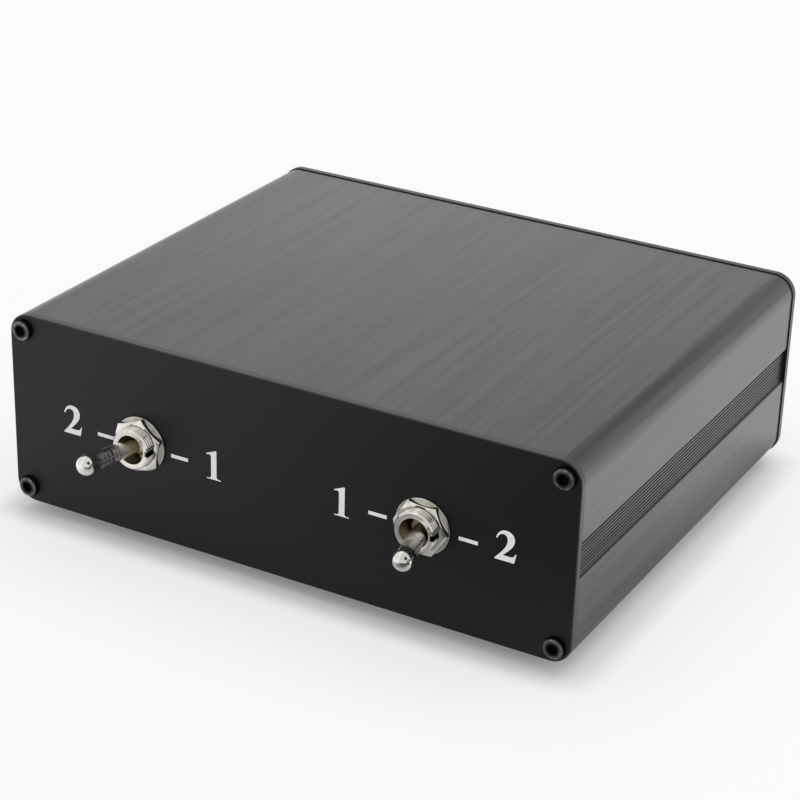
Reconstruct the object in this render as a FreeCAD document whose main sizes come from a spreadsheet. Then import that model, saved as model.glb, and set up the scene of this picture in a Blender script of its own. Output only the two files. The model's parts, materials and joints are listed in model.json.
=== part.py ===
import FreeCAD, Part
import math
import os

import Sketcher

# Speaker and amplifier selector box: an aluminium case of two interlocking extrusions,
# closed by a front and a rear plate. Two four-pole toggle switches stand in the front
# plate, sixteen binding posts in the rear plate, and loose wires join them inside.
#
# Frame: +X to the right as seen from the front, +Y from front to back, +Z up.
# The origin is the middle of the bounding box's underside. Inside this file the pieces
# are laid out from the front plate's front face and the underside of the case; "seat"
# moves them into the frame.

SIZES = {
    # case
    "case_width": 165.0, "case_height": 54.1, "case_depth": 132.5,
    "edge_radius": 5.8, "wall_thickness": 2.2, "fit_gap": 0.1,
    # ribbed band that hides the seam of the two extrusions
    "band_middle": 27.9, "band_width": 10.0, "band_recess": 1.1, "band_edge": 0.3,
    "rib_count": 10, "rib_pitch": 0.98, "rib_height": 0.45, "rib_root": 0.74, "rib_crest": 0.34,
    "tongue_height": 4.0, "tongue_thickness": 1.5,
    # board rails and screw channels of the extrusions
    "rail_count": 3, "rail_pitch": 3.6, "rail_start": 8.0, "rail_reach": 2.0, "rail_thickness": 1.4,
    "channel_wall": 1.3, "channel_slot": 1.2,
    # plates and their screws
    "plate_thickness": 2.0, "plate_chamfer": 0.25, "rear_lip": 0.3,
    "corner_inset": 4.3, "screw_diameter": 3.0, "screw_length": 10.0,
    "head_diameter": 5.5, "head_height": 2.0, "head_chamfer": 0.3,
    "socket_width": 2.5, "socket_depth": 1.2,
    "seat_diameter": 6.1, "seat_depth": 0.5,
    # rubber feet
    "foot_diameter": 12.0, "foot_taper": 0.8, "foot_height": 3.5, "foot_inset": 16.0,
    # toggle switches in the front plate
    "switch_spacing": 83.0, "switch_level": 26.7, "nut_turn_amplifier": 20.0, "nut_turn_speaker": -3.0,
    "bush_diameter": 11.2, "bush_bore": 7.8, "bush_front": 5.0, "bush_back": 5.0, "bush_chamfer": 0.4,
    "key_width": 1.6, "key_depth": 1.15, "spigot_diameter": 9.4,
    "nut_width": 13.2, "nut_thickness": 1.9, "nut_bevel": 30.0, "thread_gap": 0.05,
    "washer_diameter": 15.1, "washer_thickness": 0.7,
    "pivot_depth": 0.4, "lever_throw": 27.0, "lever_reach": 18.5, "tip_diameter": 5.4,
    "shaft_diameter": 5.3, "root_diameter": 3.9, "ball_diameter": 6.4,
    "tail_diameter": 3.2, "tail_reach": 11.0, "pin_diameter": 1.6, "pin_length": 10.4,
    # switch mechanism
    "frame_thickness": 1.0, "frame_width": 13.0, "frame_depth": 15.0, "frame_bend": 0.9,
    "housing_width": 29.6, "housing_height": 31.0, "housing_depth": 17.0,
    "housing_wall": 1.6, "housing_floor": 3.0, "barrier_height": 4.5, "barrier_thickness": 1.0,
    "yoke_width": 4.4, "yoke_height": 25.0, "yoke_front": 9.5, "yoke_depth": 2.6,
    "plunger_diameter": 2.4, "plunger_reach": 16.0, "plunger_gap": 0.15,
    "pole_pitch": 7.0, "throw_pitch": 7.5,
    "rocker_length": 17.4, "rocker_width": 4.0, "rocker_thickness": 0.8, "rocker_throw": 17.2,
    "button_diameter": 2.4, "button_height": 0.5, "contact_gap": 0.08,
    "saddle_gap": 0.1, "saddle_width": 0.6,
    "contact_diameter": 3.4, "contact_height": 0.8,
    "blade_thickness": 0.8, "blade_width": 2.4, "lug_length": 7.0, "lug_hole": 1.3,
    "lug_hole_inset": 4.2,
    # binding posts in the rear plate
    "post_columns": 8, "post_pitch": 19.0, "row_pitch": 22.0, "row_middle": 27.2,
    "stud_diameter": 6.0, "stud_inside": 7.0, "socket_bore": 4.1, "bore_depth": 13.5,
    "cross_hole": 2.4, "cross_hole_offset": 1.6,
    "collar_diameter": 14.0, "collar_height": 4.0, "shoulder_diameter": 8.0, "shoulder_height": 0.95,
    "cap_diameter": 13.0, "cap_length": 17.0, "cap_neck": 11.4, "cap_neck_length": 1.6,
    "cap_bevel": 1.2, "cap_overhang": 0.3, "cap_gap": 0.06,
    "bush_washer_diameter": 12.0, "bush_washer_height": 1.5,
    "tag_thickness": 0.8, "tag_ring": 9.6, "tag_reach": 10.0, "tag_width": 3.0, "tag_hole": 8.0,
    "post_nut_width": 9.0, "post_nut_height": 2.5,
    # wires
    "wire_diameter": 2.2, "rear_run": 16.0, "front_run": 25.0, "link_run": 16.0,
    "link_lead": 4.0, "link_drop": 11.2, "bend_radius": 9.0, "link_bend": 3.2,
}

doc = FreeCAD.newDocument("SpeakerSelector")
sheet = doc.addObject("Spreadsheet::Sheet", "Sizes")
for row, (alias, value) in enumerate(SIZES.items(), start=1):
    sheet.set(f"A{row}", alias)
    sheet.set(f"B{row}", str(value))
    sheet.setAlias(f"B{row}", alias)
doc.recompute()


class Size:
    """A number together with the spreadsheet formula that it comes from."""

    def __init__(self, value, formula):
        self.value = value
        self.formula = formula

    def join(self, other, sign, value):
        other_formula = other.formula if isinstance(other, Size) else repr(other)
        return Size(value, f"({self.formula} {sign} {other_formula})")

    def __add__(self, other):
        return self.join(other, "+", self.value + number(other))

    def __sub__(self, other):
        return self.join(other, "-", self.value - number(other))

    def __rsub__(self, other):
        return -self + other

    def __mul__(self, other):
        return self.join(other, "*", self.value * number(other))

    def __truediv__(self, other):
        return self.join(other, "/", self.value / number(other))

    def __neg__(self):
        return Size(-self.value, f"(0 - {self.formula})")

    __radd__ = __add__
    __rmul__ = __mul__


def number(quantity):
    """The plain value of a Size or of a number."""
    return quantity.value if isinstance(quantity, Size) else quantity


def formula(quantity):
    """The spreadsheet formula of a Size or of a number."""
    return quantity.formula if isinstance(quantity, Size) else repr(quantity)


def sine(angle):
    return Size(math.sin(math.radians(angle.value)), f"sin({angle.formula} * 1 deg)")


def cosine(angle):
    return Size(math.cos(math.radians(angle.value)), f"cos({angle.formula} * 1 deg)")


class Sheet:
    """Gives each spreadsheet cell by its alias, as a Size."""

    def __getattr__(self, alias):
        return Size(float(sheet.get(alias)), f"Sizes.{alias}")


s = Sheet()


# ---------------------------------------------------------------- places worked out from the sizes

half_width = s.case_width / 2
band_low = s.band_middle - s.band_width / 2
band_high = s.band_middle + s.band_width / 2
rear_plate_front = s.plate_thickness + s.case_depth
rear_face = rear_plate_front + s.plate_thickness

rest_turn = s.lever_throw / 2
rest_rock = s.rocker_throw / 2
tip_front = s.pivot_depth - s.lever_reach * cosine(rest_turn) - s.tip_diameter / 2
cap_front = rear_face + s.collar_height
cap_end = cap_front + s.cap_length
middle_depth = (tip_front + cap_end) / 2

frame_front = s.plate_thickness + s.bush_back
housing_front = frame_front + s.frame_thickness
housing_back = housing_front + s.housing_depth
floor_front = housing_back - s.housing_floor
rocker_depth = s.pivot_depth + s.plunger_reach + s.plunger_gap + s.rocker_thickness / 2
button_reach = s.throw_pitch + s.button_diameter / 2
contact_front = (rocker_depth + (s.rocker_thickness / 2 + s.button_height) * cosine(rest_rock)
                 + button_reach * sine(rest_rock) + s.contact_gap)
lug_back = housing_back + s.lug_length

tag_back = rear_plate_front - s.bush_washer_height
tag_front = tag_back - s.tag_thickness
nut_front = tag_front - s.post_nut_height
stud_back = cap_end - s.cap_overhang
stud_front = rear_plate_front - s.stud_inside
cross_hole_depth = cap_front + s.cross_hole_offset

POLES = [s.pole_pitch * step for step in (-1.5, -0.5, 0.5, 1.5)]
THROWS = [-s.throw_pitch, 0.0, s.throw_pitch]
COLUMNS = int(number(s.post_columns))
COLUMN_PLACES = [s.post_pitch * (column - (COLUMNS - 1) / 2) for column in range(COLUMNS)]
ROW_PLACES = {"positive": s.row_middle + s.row_pitch / 2, "negative": s.row_middle - s.row_pitch / 2}
SWITCHES = {"amplifier": -s.switch_spacing / 2, "speaker": s.switch_spacing / 2}


# ---------------------------------------------------------------- building tools

def bind(item, **properties):
    """Ties properties of a document object to the spreadsheet."""
    for name, quantity in properties.items():
        item.setExpression(name, formula(quantity))
    return item


def place(item, x=0.0, y=0.0, z=0.0):
    """Ties an object's position to the spreadsheet."""
    for axis, quantity in zip("xyz", (x, y, z)):
        item.setExpression(f"Placement.Base.{axis}", formula(quantity))
    return item


def around(middle, width):
    """The range of a width about its middle."""
    return middle - width / 2, middle + width / 2


def box(name, x_range, y_range, z_range):
    """A block between two values along each axis."""
    block = doc.addObject("Part::Box", name)
    bind(block, Length=x_range[1] - x_range[0], Width=y_range[1] - y_range[0], Height=z_range[1] - z_range[0])
    return place(block, x_range[0], y_range[0], z_range[0])


def rod(name, diameter, y_range, x=0.0, z=0.0, end_diameter=None):
    """A cylinder along +Y, or a cone where an end diameter is given."""
    solid = doc.addObject("Part::Cylinder" if end_diameter is None else "Part::Cone", name)
    solid.Placement.Rotation = FreeCAD.Rotation(FreeCAD.Vector(1, 0, 0), -90)
    if end_diameter is None:
        bind(solid, Radius=diameter / 2)
    else:
        bind(solid, Radius1=diameter / 2, Radius2=end_diameter / 2)
    bind(solid, Height=y_range[1] - y_range[0])
    return place(solid, x, y_range[0], z)


def post(name, diameter, z_range, x=0.0, y=0.0):
    """A cylinder along +Z."""
    solid = doc.addObject("Part::Cylinder", name)
    bind(solid, Radius=diameter / 2, Height=z_range[1] - z_range[0])
    return place(solid, x, y, z_range[0])


def ball(name, diameter, y=0.0):
    solid = doc.addObject("Part::Sphere", name)
    bind(solid, Radius=diameter / 2)
    return place(solid, 0.0, y, 0.0)


def hexagon(name, width, y_range):
    """A hexagonal bar along +Y, given its width across flats, with corners on the X axis."""
    bar = doc.addObject("Part::Prism", name)
    bar.Polygon = 6
    bar.Placement.Rotation = FreeCAD.Rotation(FreeCAD.Vector(1, 0, 0), -90)
    bind(bar, Circumradius=width / math.sqrt(3), Height=y_range[1] - y_range[0])
    return place(bar, 0.0, y_range[0], 0.0)


def fuse(name, *items):
    joined = doc.addObject("Part::MultiFuse", name)
    joined.Shapes = list(items)
    joined.Refine = True
    return joined


def cut(name, base, *tools):
    """The base less one or more tools."""
    result = doc.addObject("Part::Cut", name)
    result.Base = base
    result.Tool = tools[0] if len(tools) == 1 else fuse(name + "_tools", *tools)
    result.Refine = True
    return result


def common(name, first, second):
    shared = doc.addObject("Part::Common", name)
    shared.Base = first
    shared.Tool = second
    return shared


def plane_of(body, role):
    return next(item for item in body.Origin.OriginFeatures if item.Role == role)


def sketch_on(body, name, role):
    sketch = body.newObject("Sketcher::SketchObject", name)
    sketch.AttachmentSupport = (plane_of(body, role), [""])
    sketch.MapMode = "FlatFace"
    return sketch


def bind_point(sketch, geometry, end, point):
    """Fixes a sketch point to the origin by two distances tied to the spreadsheet."""
    for kind, quantity in zip(("DistanceX", "DistanceY"), point):
        index = sketch.addConstraint(Sketcher.Constraint(kind, -1, 1, geometry, end, number(quantity)))
        sketch.setExpression(f"Constraints[{index}]", formula(quantity))


def outline(body, name, role, points):
    """A closed sketch through points whose coordinates are Sizes or numbers."""
    sketch = sketch_on(body, name, role)
    places = [FreeCAD.Vector(number(a), number(b), 0) for a, b in points]
    count = len(places)
    for index in range(count):
        sketch.addGeometry(Part.LineSegment(places[index], places[(index + 1) % count]), False)
    for index in range(count):
        sketch.addConstraint(Sketcher.Constraint("Coincident", index, 2, (index + 1) % count, 1))
        bind_point(sketch, index, 1, points[index])
    return sketch


def circles(body, name, role, discs):
    """A sketch of circles, each given as (across, up, diameter)."""
    sketch = sketch_on(body, name, role)
    for index, (across, up, diameter) in enumerate(discs):
        middle = FreeCAD.Vector(number(across), number(up), 0)
        sketch.addGeometry(Part.Circle(middle, FreeCAD.Vector(0, 0, 1), number(diameter) / 2), False)
        bind_point(sketch, index, 3, (across, up))
        round_size = sketch.addConstraint(Sketcher.Constraint("Diameter", index, number(diameter)))
        sketch.setExpression(f"Constraints[{round_size}]", formula(diameter))
    return sketch


def pad(body, sketch, length, towards_back=True, midplane=False):
    feature = body.newObject("PartDesign::Pad", sketch.Name + "_pad")
    feature.Profile = sketch
    feature.Reversed = towards_back
    feature.Midplane = midplane
    bind(feature, Length=length)
    return feature


def pocket(body, sketch, depth, towards_front=False):
    feature = body.newObject("PartDesign::Pocket", sketch.Name + "_pocket")
    feature.Profile = sketch
    feature.Reversed = towards_front
    bind(feature, Length=depth)
    return feature


def dress(body, kind, base, edges, **properties):
    """A PartDesign fillet or chamfer on named edges or faces of the feature before it."""
    doc.recompute()
    feature = body.newObject(f"PartDesign::{kind}", f"{base.Name}_{kind.lower()}")
    feature.Base = (base, edges)
    return bind(feature, **properties)


def long_edges(feature, points):
    """Names of the straight edges along Y that pass through the (x, z) points given."""
    doc.recompute()
    names = []
    for index, edge in enumerate(feature.Shape.Edges, start=1):
        start, end = edge.Vertexes[0].Point, edge.Vertexes[-1].Point
        along = abs(start.x - end.x) + abs(start.z - end.z) < 1e-6
        near = any(math.hypot(start.x - number(x), start.z - number(z)) < 1e-3 for x, z in points)
        if along and near:
            names.append(f"Edge{index}")
    return names


parts = {}


def seat(item, label, x=0.0, y=0.0, z=0.0, turn=None):
    """Names a finished piece and sets it in the frame of the whole object."""
    item.Label = label
    place(item, x, y - middle_depth, s.foot_height + z)
    if turn is not None:
        item.setExpression("Placement.Rotation.Angle", formula(turn))
    parts[label] = item


def placement(x, y, z, axis=(0, 0, 1), turn=0.0):
    """A plain placement from Sizes, in the layout of the case."""
    middle = FreeCAD.Vector(number(x), number(y), number(z))
    return FreeCAD.Placement(middle, FreeCAD.Rotation(FreeCAD.Vector(*axis), number(turn)))


def copies(label, pattern, placements):
    """One node of equal pieces: copies of a pattern at places read from the spreadsheet."""
    doc.recompute()
    solids = []
    for spot in placements:
        for solid in pattern.Shape.Solids:
            copy = solid.copy()
            copy.Placement = spot.multiply(copy.Placement)
            solids.append(copy)
    node = doc.addObject("Part::Feature", label)
    node.Shape = solids[0] if len(solids) == 1 else Part.makeCompound(solids)
    node.Placement = FreeCAD.Placement(
        FreeCAD.Vector(0, -number(middle_depth), number(s.foot_height)), FreeCAD.Rotation()
    ).multiply(node.Placement)
    node.Label = label
    parts[label] = node


# ---------------------------------------------------------------- case

def corner_channels(name, level):
    """The screw channels along both corners of an extrusion, and the bores and slots cut in them."""
    bore = s.screw_diameter + s.thread_gap * 2
    boss = bore + s.channel_wall * 2
    along = (0.0, s.case_depth)
    walls, hollows = [], []
    for side, sign in (("left", -1), ("right", 1)):
        across = (half_width - s.corner_inset) * sign
        inward = across - boss / 2 * sign
        slot_x = (across, inward) if sign < 0 else (inward, across)
        walls.append(rod(f"{name}_{side}_boss", boss, along, across, level))
        hollows.append(rod(f"{name}_{side}_bore", bore, along, across, level))
        hollows.append(box(f"{name}_{side}_slot", slot_x, along, around(level, s.channel_slot)))
    return walls, hollows


def top_shell():
    """The upper extrusion: a rounded channel that rests on the lower one's shoulders."""
    body = doc.addObject("PartDesign::Body", "top_profile")
    inner = half_width - s.wall_thickness
    ceiling = s.case_height - s.wall_thickness
    right = [(half_width, s.case_height), (half_width, band_high + s.band_edge),
             (half_width - s.band_edge, band_high), (inner, band_high), (inner, ceiling)]
    points = right + [(-x, z) for x, z in reversed(right)]
    base = pad(body, outline(body, "top_outline", "XZ_Plane", points), s.case_depth)
    corners = [(-half_width, s.case_height), (half_width, s.case_height)]
    rounded = dress(body, "Fillet", base, long_edges(base, corners), Radius=s.edge_radius)
    hollow_corners = long_edges(rounded, [(inner, ceiling), (-inner, ceiling)])
    dress(body, "Fillet", rounded, hollow_corners, Radius=s.edge_radius - s.wall_thickness)
    level = s.case_height - s.corner_inset
    walls, hollows = corner_channels("top", level)
    shell = cut("top_cut", fuse("top_fused", body, *walls), *hollows)
    seat(shell, "top_shell", y=s.plate_thickness)


def rib_comb():
    """The ribs of one side's band as a single comb, sunk a little into the wall behind it."""
    body = doc.addObject("PartDesign::Body", "rib_profile")
    floor = half_width - s.band_recess
    crest = floor + s.rib_height
    back = floor - s.wall_thickness / 4
    count = int(number(s.rib_count))
    points = [(back, band_low + s.rib_root / 2)]
    for index in range(count):
        middle = s.band_middle + s.rib_pitch * (index - (count - 1) / 2)
        points += [(floor, middle - s.rib_root / 2), (crest, middle - s.rib_crest / 2),
                   (crest, middle + s.rib_crest / 2), (floor, middle + s.rib_root / 2)]
    points.append((back, band_high - s.rib_root / 2))
    pad(body, outline(body, "rib_outline", "XZ_Plane", points), s.case_depth)
    mirror = doc.addObject("Part::Mirroring", "rib_mirror")
    mirror.Source = body
    mirror.Normal = FreeCAD.Vector(1, 0, 0)
    return body, mirror


def board_rails():
    """Rails inside both walls of the lower extrusion, which would hold a circuit board."""
    rails = []
    inner = half_width - s.wall_thickness
    for index in range(int(number(s.rail_count))):
        low = s.rail_start + s.rail_pitch * index
        for side, sign in (("left", -1), ("right", 1)):
            x_range = (-inner, -inner + s.rail_reach) if sign < 0 else (inner - s.rail_reach, inner)
            rails.append(box(f"rail_{side}_{index}", x_range, (0.0, s.case_depth),
                             (low, low + s.rail_thickness)))
    return rails


def bottom_shell():
    """The lower extrusion, with the ribbed bands and the tongues that reach into the upper one."""
    body = doc.addObject("PartDesign::Body", "bottom_profile")
    inner = half_width - s.wall_thickness
    tongue_out = inner - s.fit_gap
    tongue_in = tongue_out - s.tongue_thickness
    jog = band_low - s.wall_thickness
    right = [(half_width, 0.0), (half_width, band_low - s.band_edge),
             (half_width - s.band_edge, band_low), (half_width - s.band_recess, band_low),
             (half_width - s.band_recess, band_high), (tongue_out, band_high),
             (tongue_out, band_high + s.tongue_height), (tongue_in, band_high + s.tongue_height),
             (tongue_in, jog), (inner, jog - s.tongue_thickness), (inner, s.wall_thickness)]
    left = [(-x, z) for x, z in reversed(right)]
    base = pad(body, outline(body, "bottom_outline", "XZ_Plane", right + left), s.case_depth)
    corners = [(-half_width, 0.0), (half_width, 0.0)]
    rounded = dress(body, "Fillet", base, long_edges(base, corners), Radius=s.edge_radius)
    hollow_corners = long_edges(rounded, [(inner, s.wall_thickness), (-inner, s.wall_thickness)])
    dress(body, "Fillet", rounded, hollow_corners, Radius=s.edge_radius - s.wall_thickness)
    walls, hollows = corner_channels("bottom", s.corner_inset)
    shell = cut("bottom_cut", fuse("bottom_fused", body, *rib_comb(), *board_rails(), *walls), *hollows)
    seat(shell, "bottom_shell", y=s.plate_thickness)


def plate(name, holes, seats_in_front, lip=0.0):
    """A flat end plate with rounded corners, its screw seats and further through holes."""
    body = doc.addObject("PartDesign::Body", name + "_body")
    side, top = half_width + lip, s.case_height + lip
    points = [(-side, -lip), (side, -lip), (side, top), (-side, top)]
    base = pad(body, outline(body, name + "_outline", "XZ_Plane", points), s.plate_thickness)
    rounded = dress(body, "Fillet", base, long_edges(base, points), Radius=s.edge_radius + lip)
    doc.recompute()
    outer_side = 0.0 if seats_in_front else number(s.plate_thickness)
    faces = [f"Face{index}" for index, face in enumerate(rounded.Shape.Faces, start=1)
             if abs(face.BoundBox.YMin - outer_side) < 1e-6 and abs(face.BoundBox.YMax - outer_side) < 1e-6]
    dress(body, "Chamfer", rounded, faces, Size=s.plate_chamfer)
    corners = [((half_width - s.corner_inset) * across, level)
               for across in (-1, 1) for level in (s.corner_inset, s.case_height - s.corner_inset)]
    clearance = s.screw_diameter + s.fit_gap * 2
    through = [(x, z, clearance) for x, z in corners] + holes
    pocket(body, circles(body, name + "_holes", "XZ_Plane", through), s.plate_thickness)
    seats = circles(body, name + "_seats", "XZ_Plane", [(x, z, s.seat_diameter) for x, z in corners])
    sunk = pocket(body, seats, s.seat_depth, towards_front=not seats_in_front)
    if not seats_in_front:
        seats.setExpression("AttachmentOffset.Base.z", formula(-s.plate_thickness))
    doc.recompute()
    body.Tip = sunk
    return body


def plates():
    """The front plate with its switch holes, and the rear plate, proud of the case, with its post holes."""
    bush_hole = s.bush_diameter + s.fit_gap * 2
    front = plate("front_plate", [(x, s.switch_level, bush_hole) for x in SWITCHES.values()], True)
    seat(front, "front_plate")
    post_hole = s.shoulder_diameter + s.fit_gap
    holes = [(x, z, post_hole) for x in COLUMN_PLACES for z in ROW_PLACES.values()]
    rear = plate("rear_plate", holes, False, s.rear_lip)
    seat(rear, "rear_plate", y=rear_plate_front)


def plate_screws():
    """Low-head hexagon socket screws that hold both plates; their heads sit in shallow seats."""
    head = rod("head_disc", s.head_diameter, (-s.head_height, 0.0))
    face = s.head_diameter - s.head_chamfer * 2
    rim = rod("head_cone", face, (-s.head_height, 0.0), end_diameter=face + s.head_height * 2)
    shank = rod("screw_shank", s.screw_diameter, (0.0, s.screw_length))
    recess = hexagon("screw_socket", s.socket_width, (-s.head_height, -s.head_height + s.socket_depth))
    screw = cut("screw_pattern", fuse("screw_blank", common("screw_head", head, rim), shank), recess)
    spots = [((half_width - s.corner_inset) * across, level)
             for across in (-1, 1) for level in (s.corner_inset, s.case_height - s.corner_inset)]
    for index, (x, z) in enumerate(spots, start=1):
        copies(f"front_screw_{index}", screw, [placement(x, s.seat_depth, z)])
    back = [placement(x, rear_face - s.seat_depth, z, turn=180) for x, z in spots]
    copies("rear_screws", screw, back)


def feet():
    """Four rubber feet stuck under the case."""
    foot = doc.addObject("Part::Cone", "foot_pattern")
    bind(foot, Radius1=s.foot_diameter / 2 - s.foot_taper, Radius2=s.foot_diameter / 2, Height=s.foot_height)
    place(foot, 0.0, 0.0, -s.foot_height)
    depths = (s.foot_inset, s.plate_thickness * 2 + s.case_depth - s.foot_inset)
    spots = [((half_width - s.foot_inset) * across, depth) for across in (-1, 1) for depth in depths]
    for index, (x, y) in enumerate(spots, start=1):
        copies(f"foot_{index}", foot, [placement(x, y, 0.0)])


# ---------------------------------------------------------------- toggle switch

def bush():
    """The threaded bush with its keyway and the spigot that is staked into the frame."""
    front = -s.bush_front
    length = frame_front - front
    barrel = rod("bush_barrel", s.bush_diameter, (front, frame_front))
    edge = rod("bush_edge", s.bush_diameter - s.bush_chamfer * 2, (front, frame_front),
               end_diameter=s.bush_diameter - s.bush_chamfer * 2 + length * 2)
    spigot = rod("bush_spigot", s.spigot_diameter, (frame_front, housing_front))
    bore = rod("bush_bore_tool", s.bush_bore, (front, housing_front))
    mouth = rod("bush_mouth", s.bush_bore + s.bush_chamfer * 2, (front, front + s.bush_chamfer),
                end_diameter=s.bush_bore)
    key_floor = s.bush_diameter / 2 - s.key_depth
    keyway = box("bush_keyway", (key_floor, s.bush_diameter), (front, frame_front),
                 around(0.0, s.key_width))
    pin_hole = post("bush_pin_hole", s.pin_diameter, around(0.0, s.bush_diameter), y=s.pivot_depth)
    blank = fuse("bush_blank", common("bush_turned", barrel, edge), spigot)
    return cut("bush_pattern", blank, bore, mouth, keyway, pin_hole)


def lever():
    """The bat handle, its pivot ball and its tail, drawn about the pivot and pointing to the front."""
    tip = ball("lever_tip", s.tip_diameter, -s.lever_reach)
    shaft = rod("lever_shaft", s.shaft_diameter, (-s.lever_reach, 0.0), end_diameter=s.root_diameter)
    middle = ball("lever_ball", s.ball_diameter)
    tail = rod("lever_tail", s.tail_diameter, (0.0, s.tail_reach))
    eye = post("lever_eye", s.pin_diameter + s.thread_gap * 2, around(0.0, s.ball_diameter))
    return cut("lever_pattern", fuse("lever_blank", tip, shaft, middle, tail), eye)


def yoke():
    """The insulating bar on the lever's tail with one plunger for each pole, drawn about the pivot."""
    bar = box("yoke_bar", around(0.0, s.yoke_width), (s.yoke_front, s.yoke_front + s.yoke_depth),
              around(0.0, s.yoke_height))
    socket = rod("yoke_socket", s.tail_diameter + s.thread_gap * 2, (s.yoke_front, s.tail_reach))
    stem_range = (s.yoke_front + s.yoke_depth / 2, s.plunger_reach - s.plunger_diameter / 2)
    pieces = [bar]
    for index, level in enumerate(POLES):
        pieces.append(rod(f"plunger_stem_{index}", s.plunger_diameter, stem_range, z=level))
        pieces.append(place(ball(f"plunger_nose_{index}", s.plunger_diameter), 0.0, stem_range[1], level))
    return cut("yoke_pattern", fuse("yoke_blank", *pieces), socket)


def nut():
    """A thin hexagon nut, bevelled on its outer side."""
    bar = hexagon("nut_bar", s.nut_width, (-s.nut_thickness, 0.0))
    spread = s.nut_thickness * 2 * cosine(s.nut_bevel) / sine(s.nut_bevel)
    bevel = rod("nut_bevel", s.nut_width, (-s.nut_thickness, 0.0), end_diameter=s.nut_width + spread)
    bore = rod("nut_bore", s.bush_diameter + s.thread_gap * 2, (-s.nut_thickness, 0.0))
    return cut("nut_pattern", common("nut_blank", bar, bevel), bore)


def ring(name, outer, inner, y_range):
    """A flat ring along Y."""
    return cut(name, rod(name + "_disc", outer, y_range), rod(name + "_hole", inner, y_range))


def strap():
    """The bent steel strap that holds the housing to the bush."""
    body = doc.addObject("PartDesign::Body", "strap_pattern")
    inner = s.housing_width / 2
    outer = inner + s.frame_thickness
    back = frame_front + s.frame_depth
    points = [(-outer, frame_front), (outer, frame_front), (outer, back), (inner, back),
              (inner, housing_front), (-inner, housing_front), (-inner, back), (-outer, back)]
    base = pad(body, outline(body, "strap_outline", "XY_Plane", points), s.frame_width, False, midplane=True)
    doc.recompute()
    bends = [f"Edge{index}" for index, edge in enumerate(base.Shape.Edges, start=1)
             if all(abs(abs(v.X) - number(outer)) < 1e-6 and abs(v.Y - number(frame_front)) < 1e-6
                    for v in edge.Vertexes)]
    dress(body, "Fillet", base, bends, Radius=s.frame_bend)
    hole = circles(body, "strap_hole", "XZ_Plane", [(0.0, 0.0, s.spigot_diameter)])
    pocket(body, hole, housing_front)
    return body


def housing():
    """The moulded housing with one chamber for each pole and a slot for each blade."""
    block = box("housing_block", around(0.0, s.housing_width), (housing_front, housing_back),
                around(0.0, s.housing_height))
    chamber = box("housing_chamber", around(0.0, s.housing_width - s.housing_wall * 2),
                  (housing_front, floor_front), around(0.0, s.housing_height - s.housing_wall * 2))
    shell = cut("housing_shell", block, chamber)
    barrier_range = (floor_front - s.barrier_height, floor_front + s.housing_wall / 2)
    barriers = [box(f"barrier_{index}", around(0.0, s.housing_width - s.housing_wall), barrier_range,
                    around(s.pole_pitch * step, s.barrier_thickness))
                for index, step in enumerate((-1, 0, 1))]
    slots = [box(f"blade_slot_{row}_{column}", around(across, s.blade_thickness),
                 (floor_front, housing_back), around(level, s.blade_width))
             for row, level in enumerate(POLES) for column, across in enumerate(THROWS)]
    return cut("housing_pattern", fuse("housing_blank", shell, *barriers), *slots)


def rocker():
    """One moving contact, drawn about its pivot: a plate with a contact button under each end."""
    bar = box("rocker_bar", around(0.0, s.rocker_length), around(0.0, s.rocker_thickness),
              around(0.0, s.rocker_width))
    button_range = (s.rocker_thickness / 2, s.rocker_thickness / 2 + s.button_height)
    buttons = [rod(f"rocker_button_{index}", s.button_diameter, button_range, across)
               for index, across in enumerate((-s.throw_pitch, s.throw_pitch))]
    return fuse("rocker_pattern", bar, *buttons)


def terminal(name, head):
    """A terminal drawn at its own blade: a contact head or a saddle, the blade and a drilled lug."""
    blade = box(name + "_blade", around(0.0, s.blade_thickness), (head[1], lug_back),
                around(0.0, s.blade_width))
    hole = doc.addObject("Part::Cylinder", name + "_hole")
    hole.Placement.Rotation = FreeCAD.Rotation(FreeCAD.Vector(0, 1, 0), 90)
    bind(hole, Radius=s.lug_hole / 2, Height=s.blade_thickness)
    place(hole, -s.blade_thickness / 2, lug_back - s.lug_hole_inset, 0.0)
    if name == "fixed":
        top = rod(name + "_head", s.contact_diameter, head)
    else:
        top = box(name + "_saddle", around(0.0, s.saddle_width), head, around(0.0, s.rocker_width))
    return cut(name + "_terminal", fuse(name + "_fused", top, blade), hole)


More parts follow.
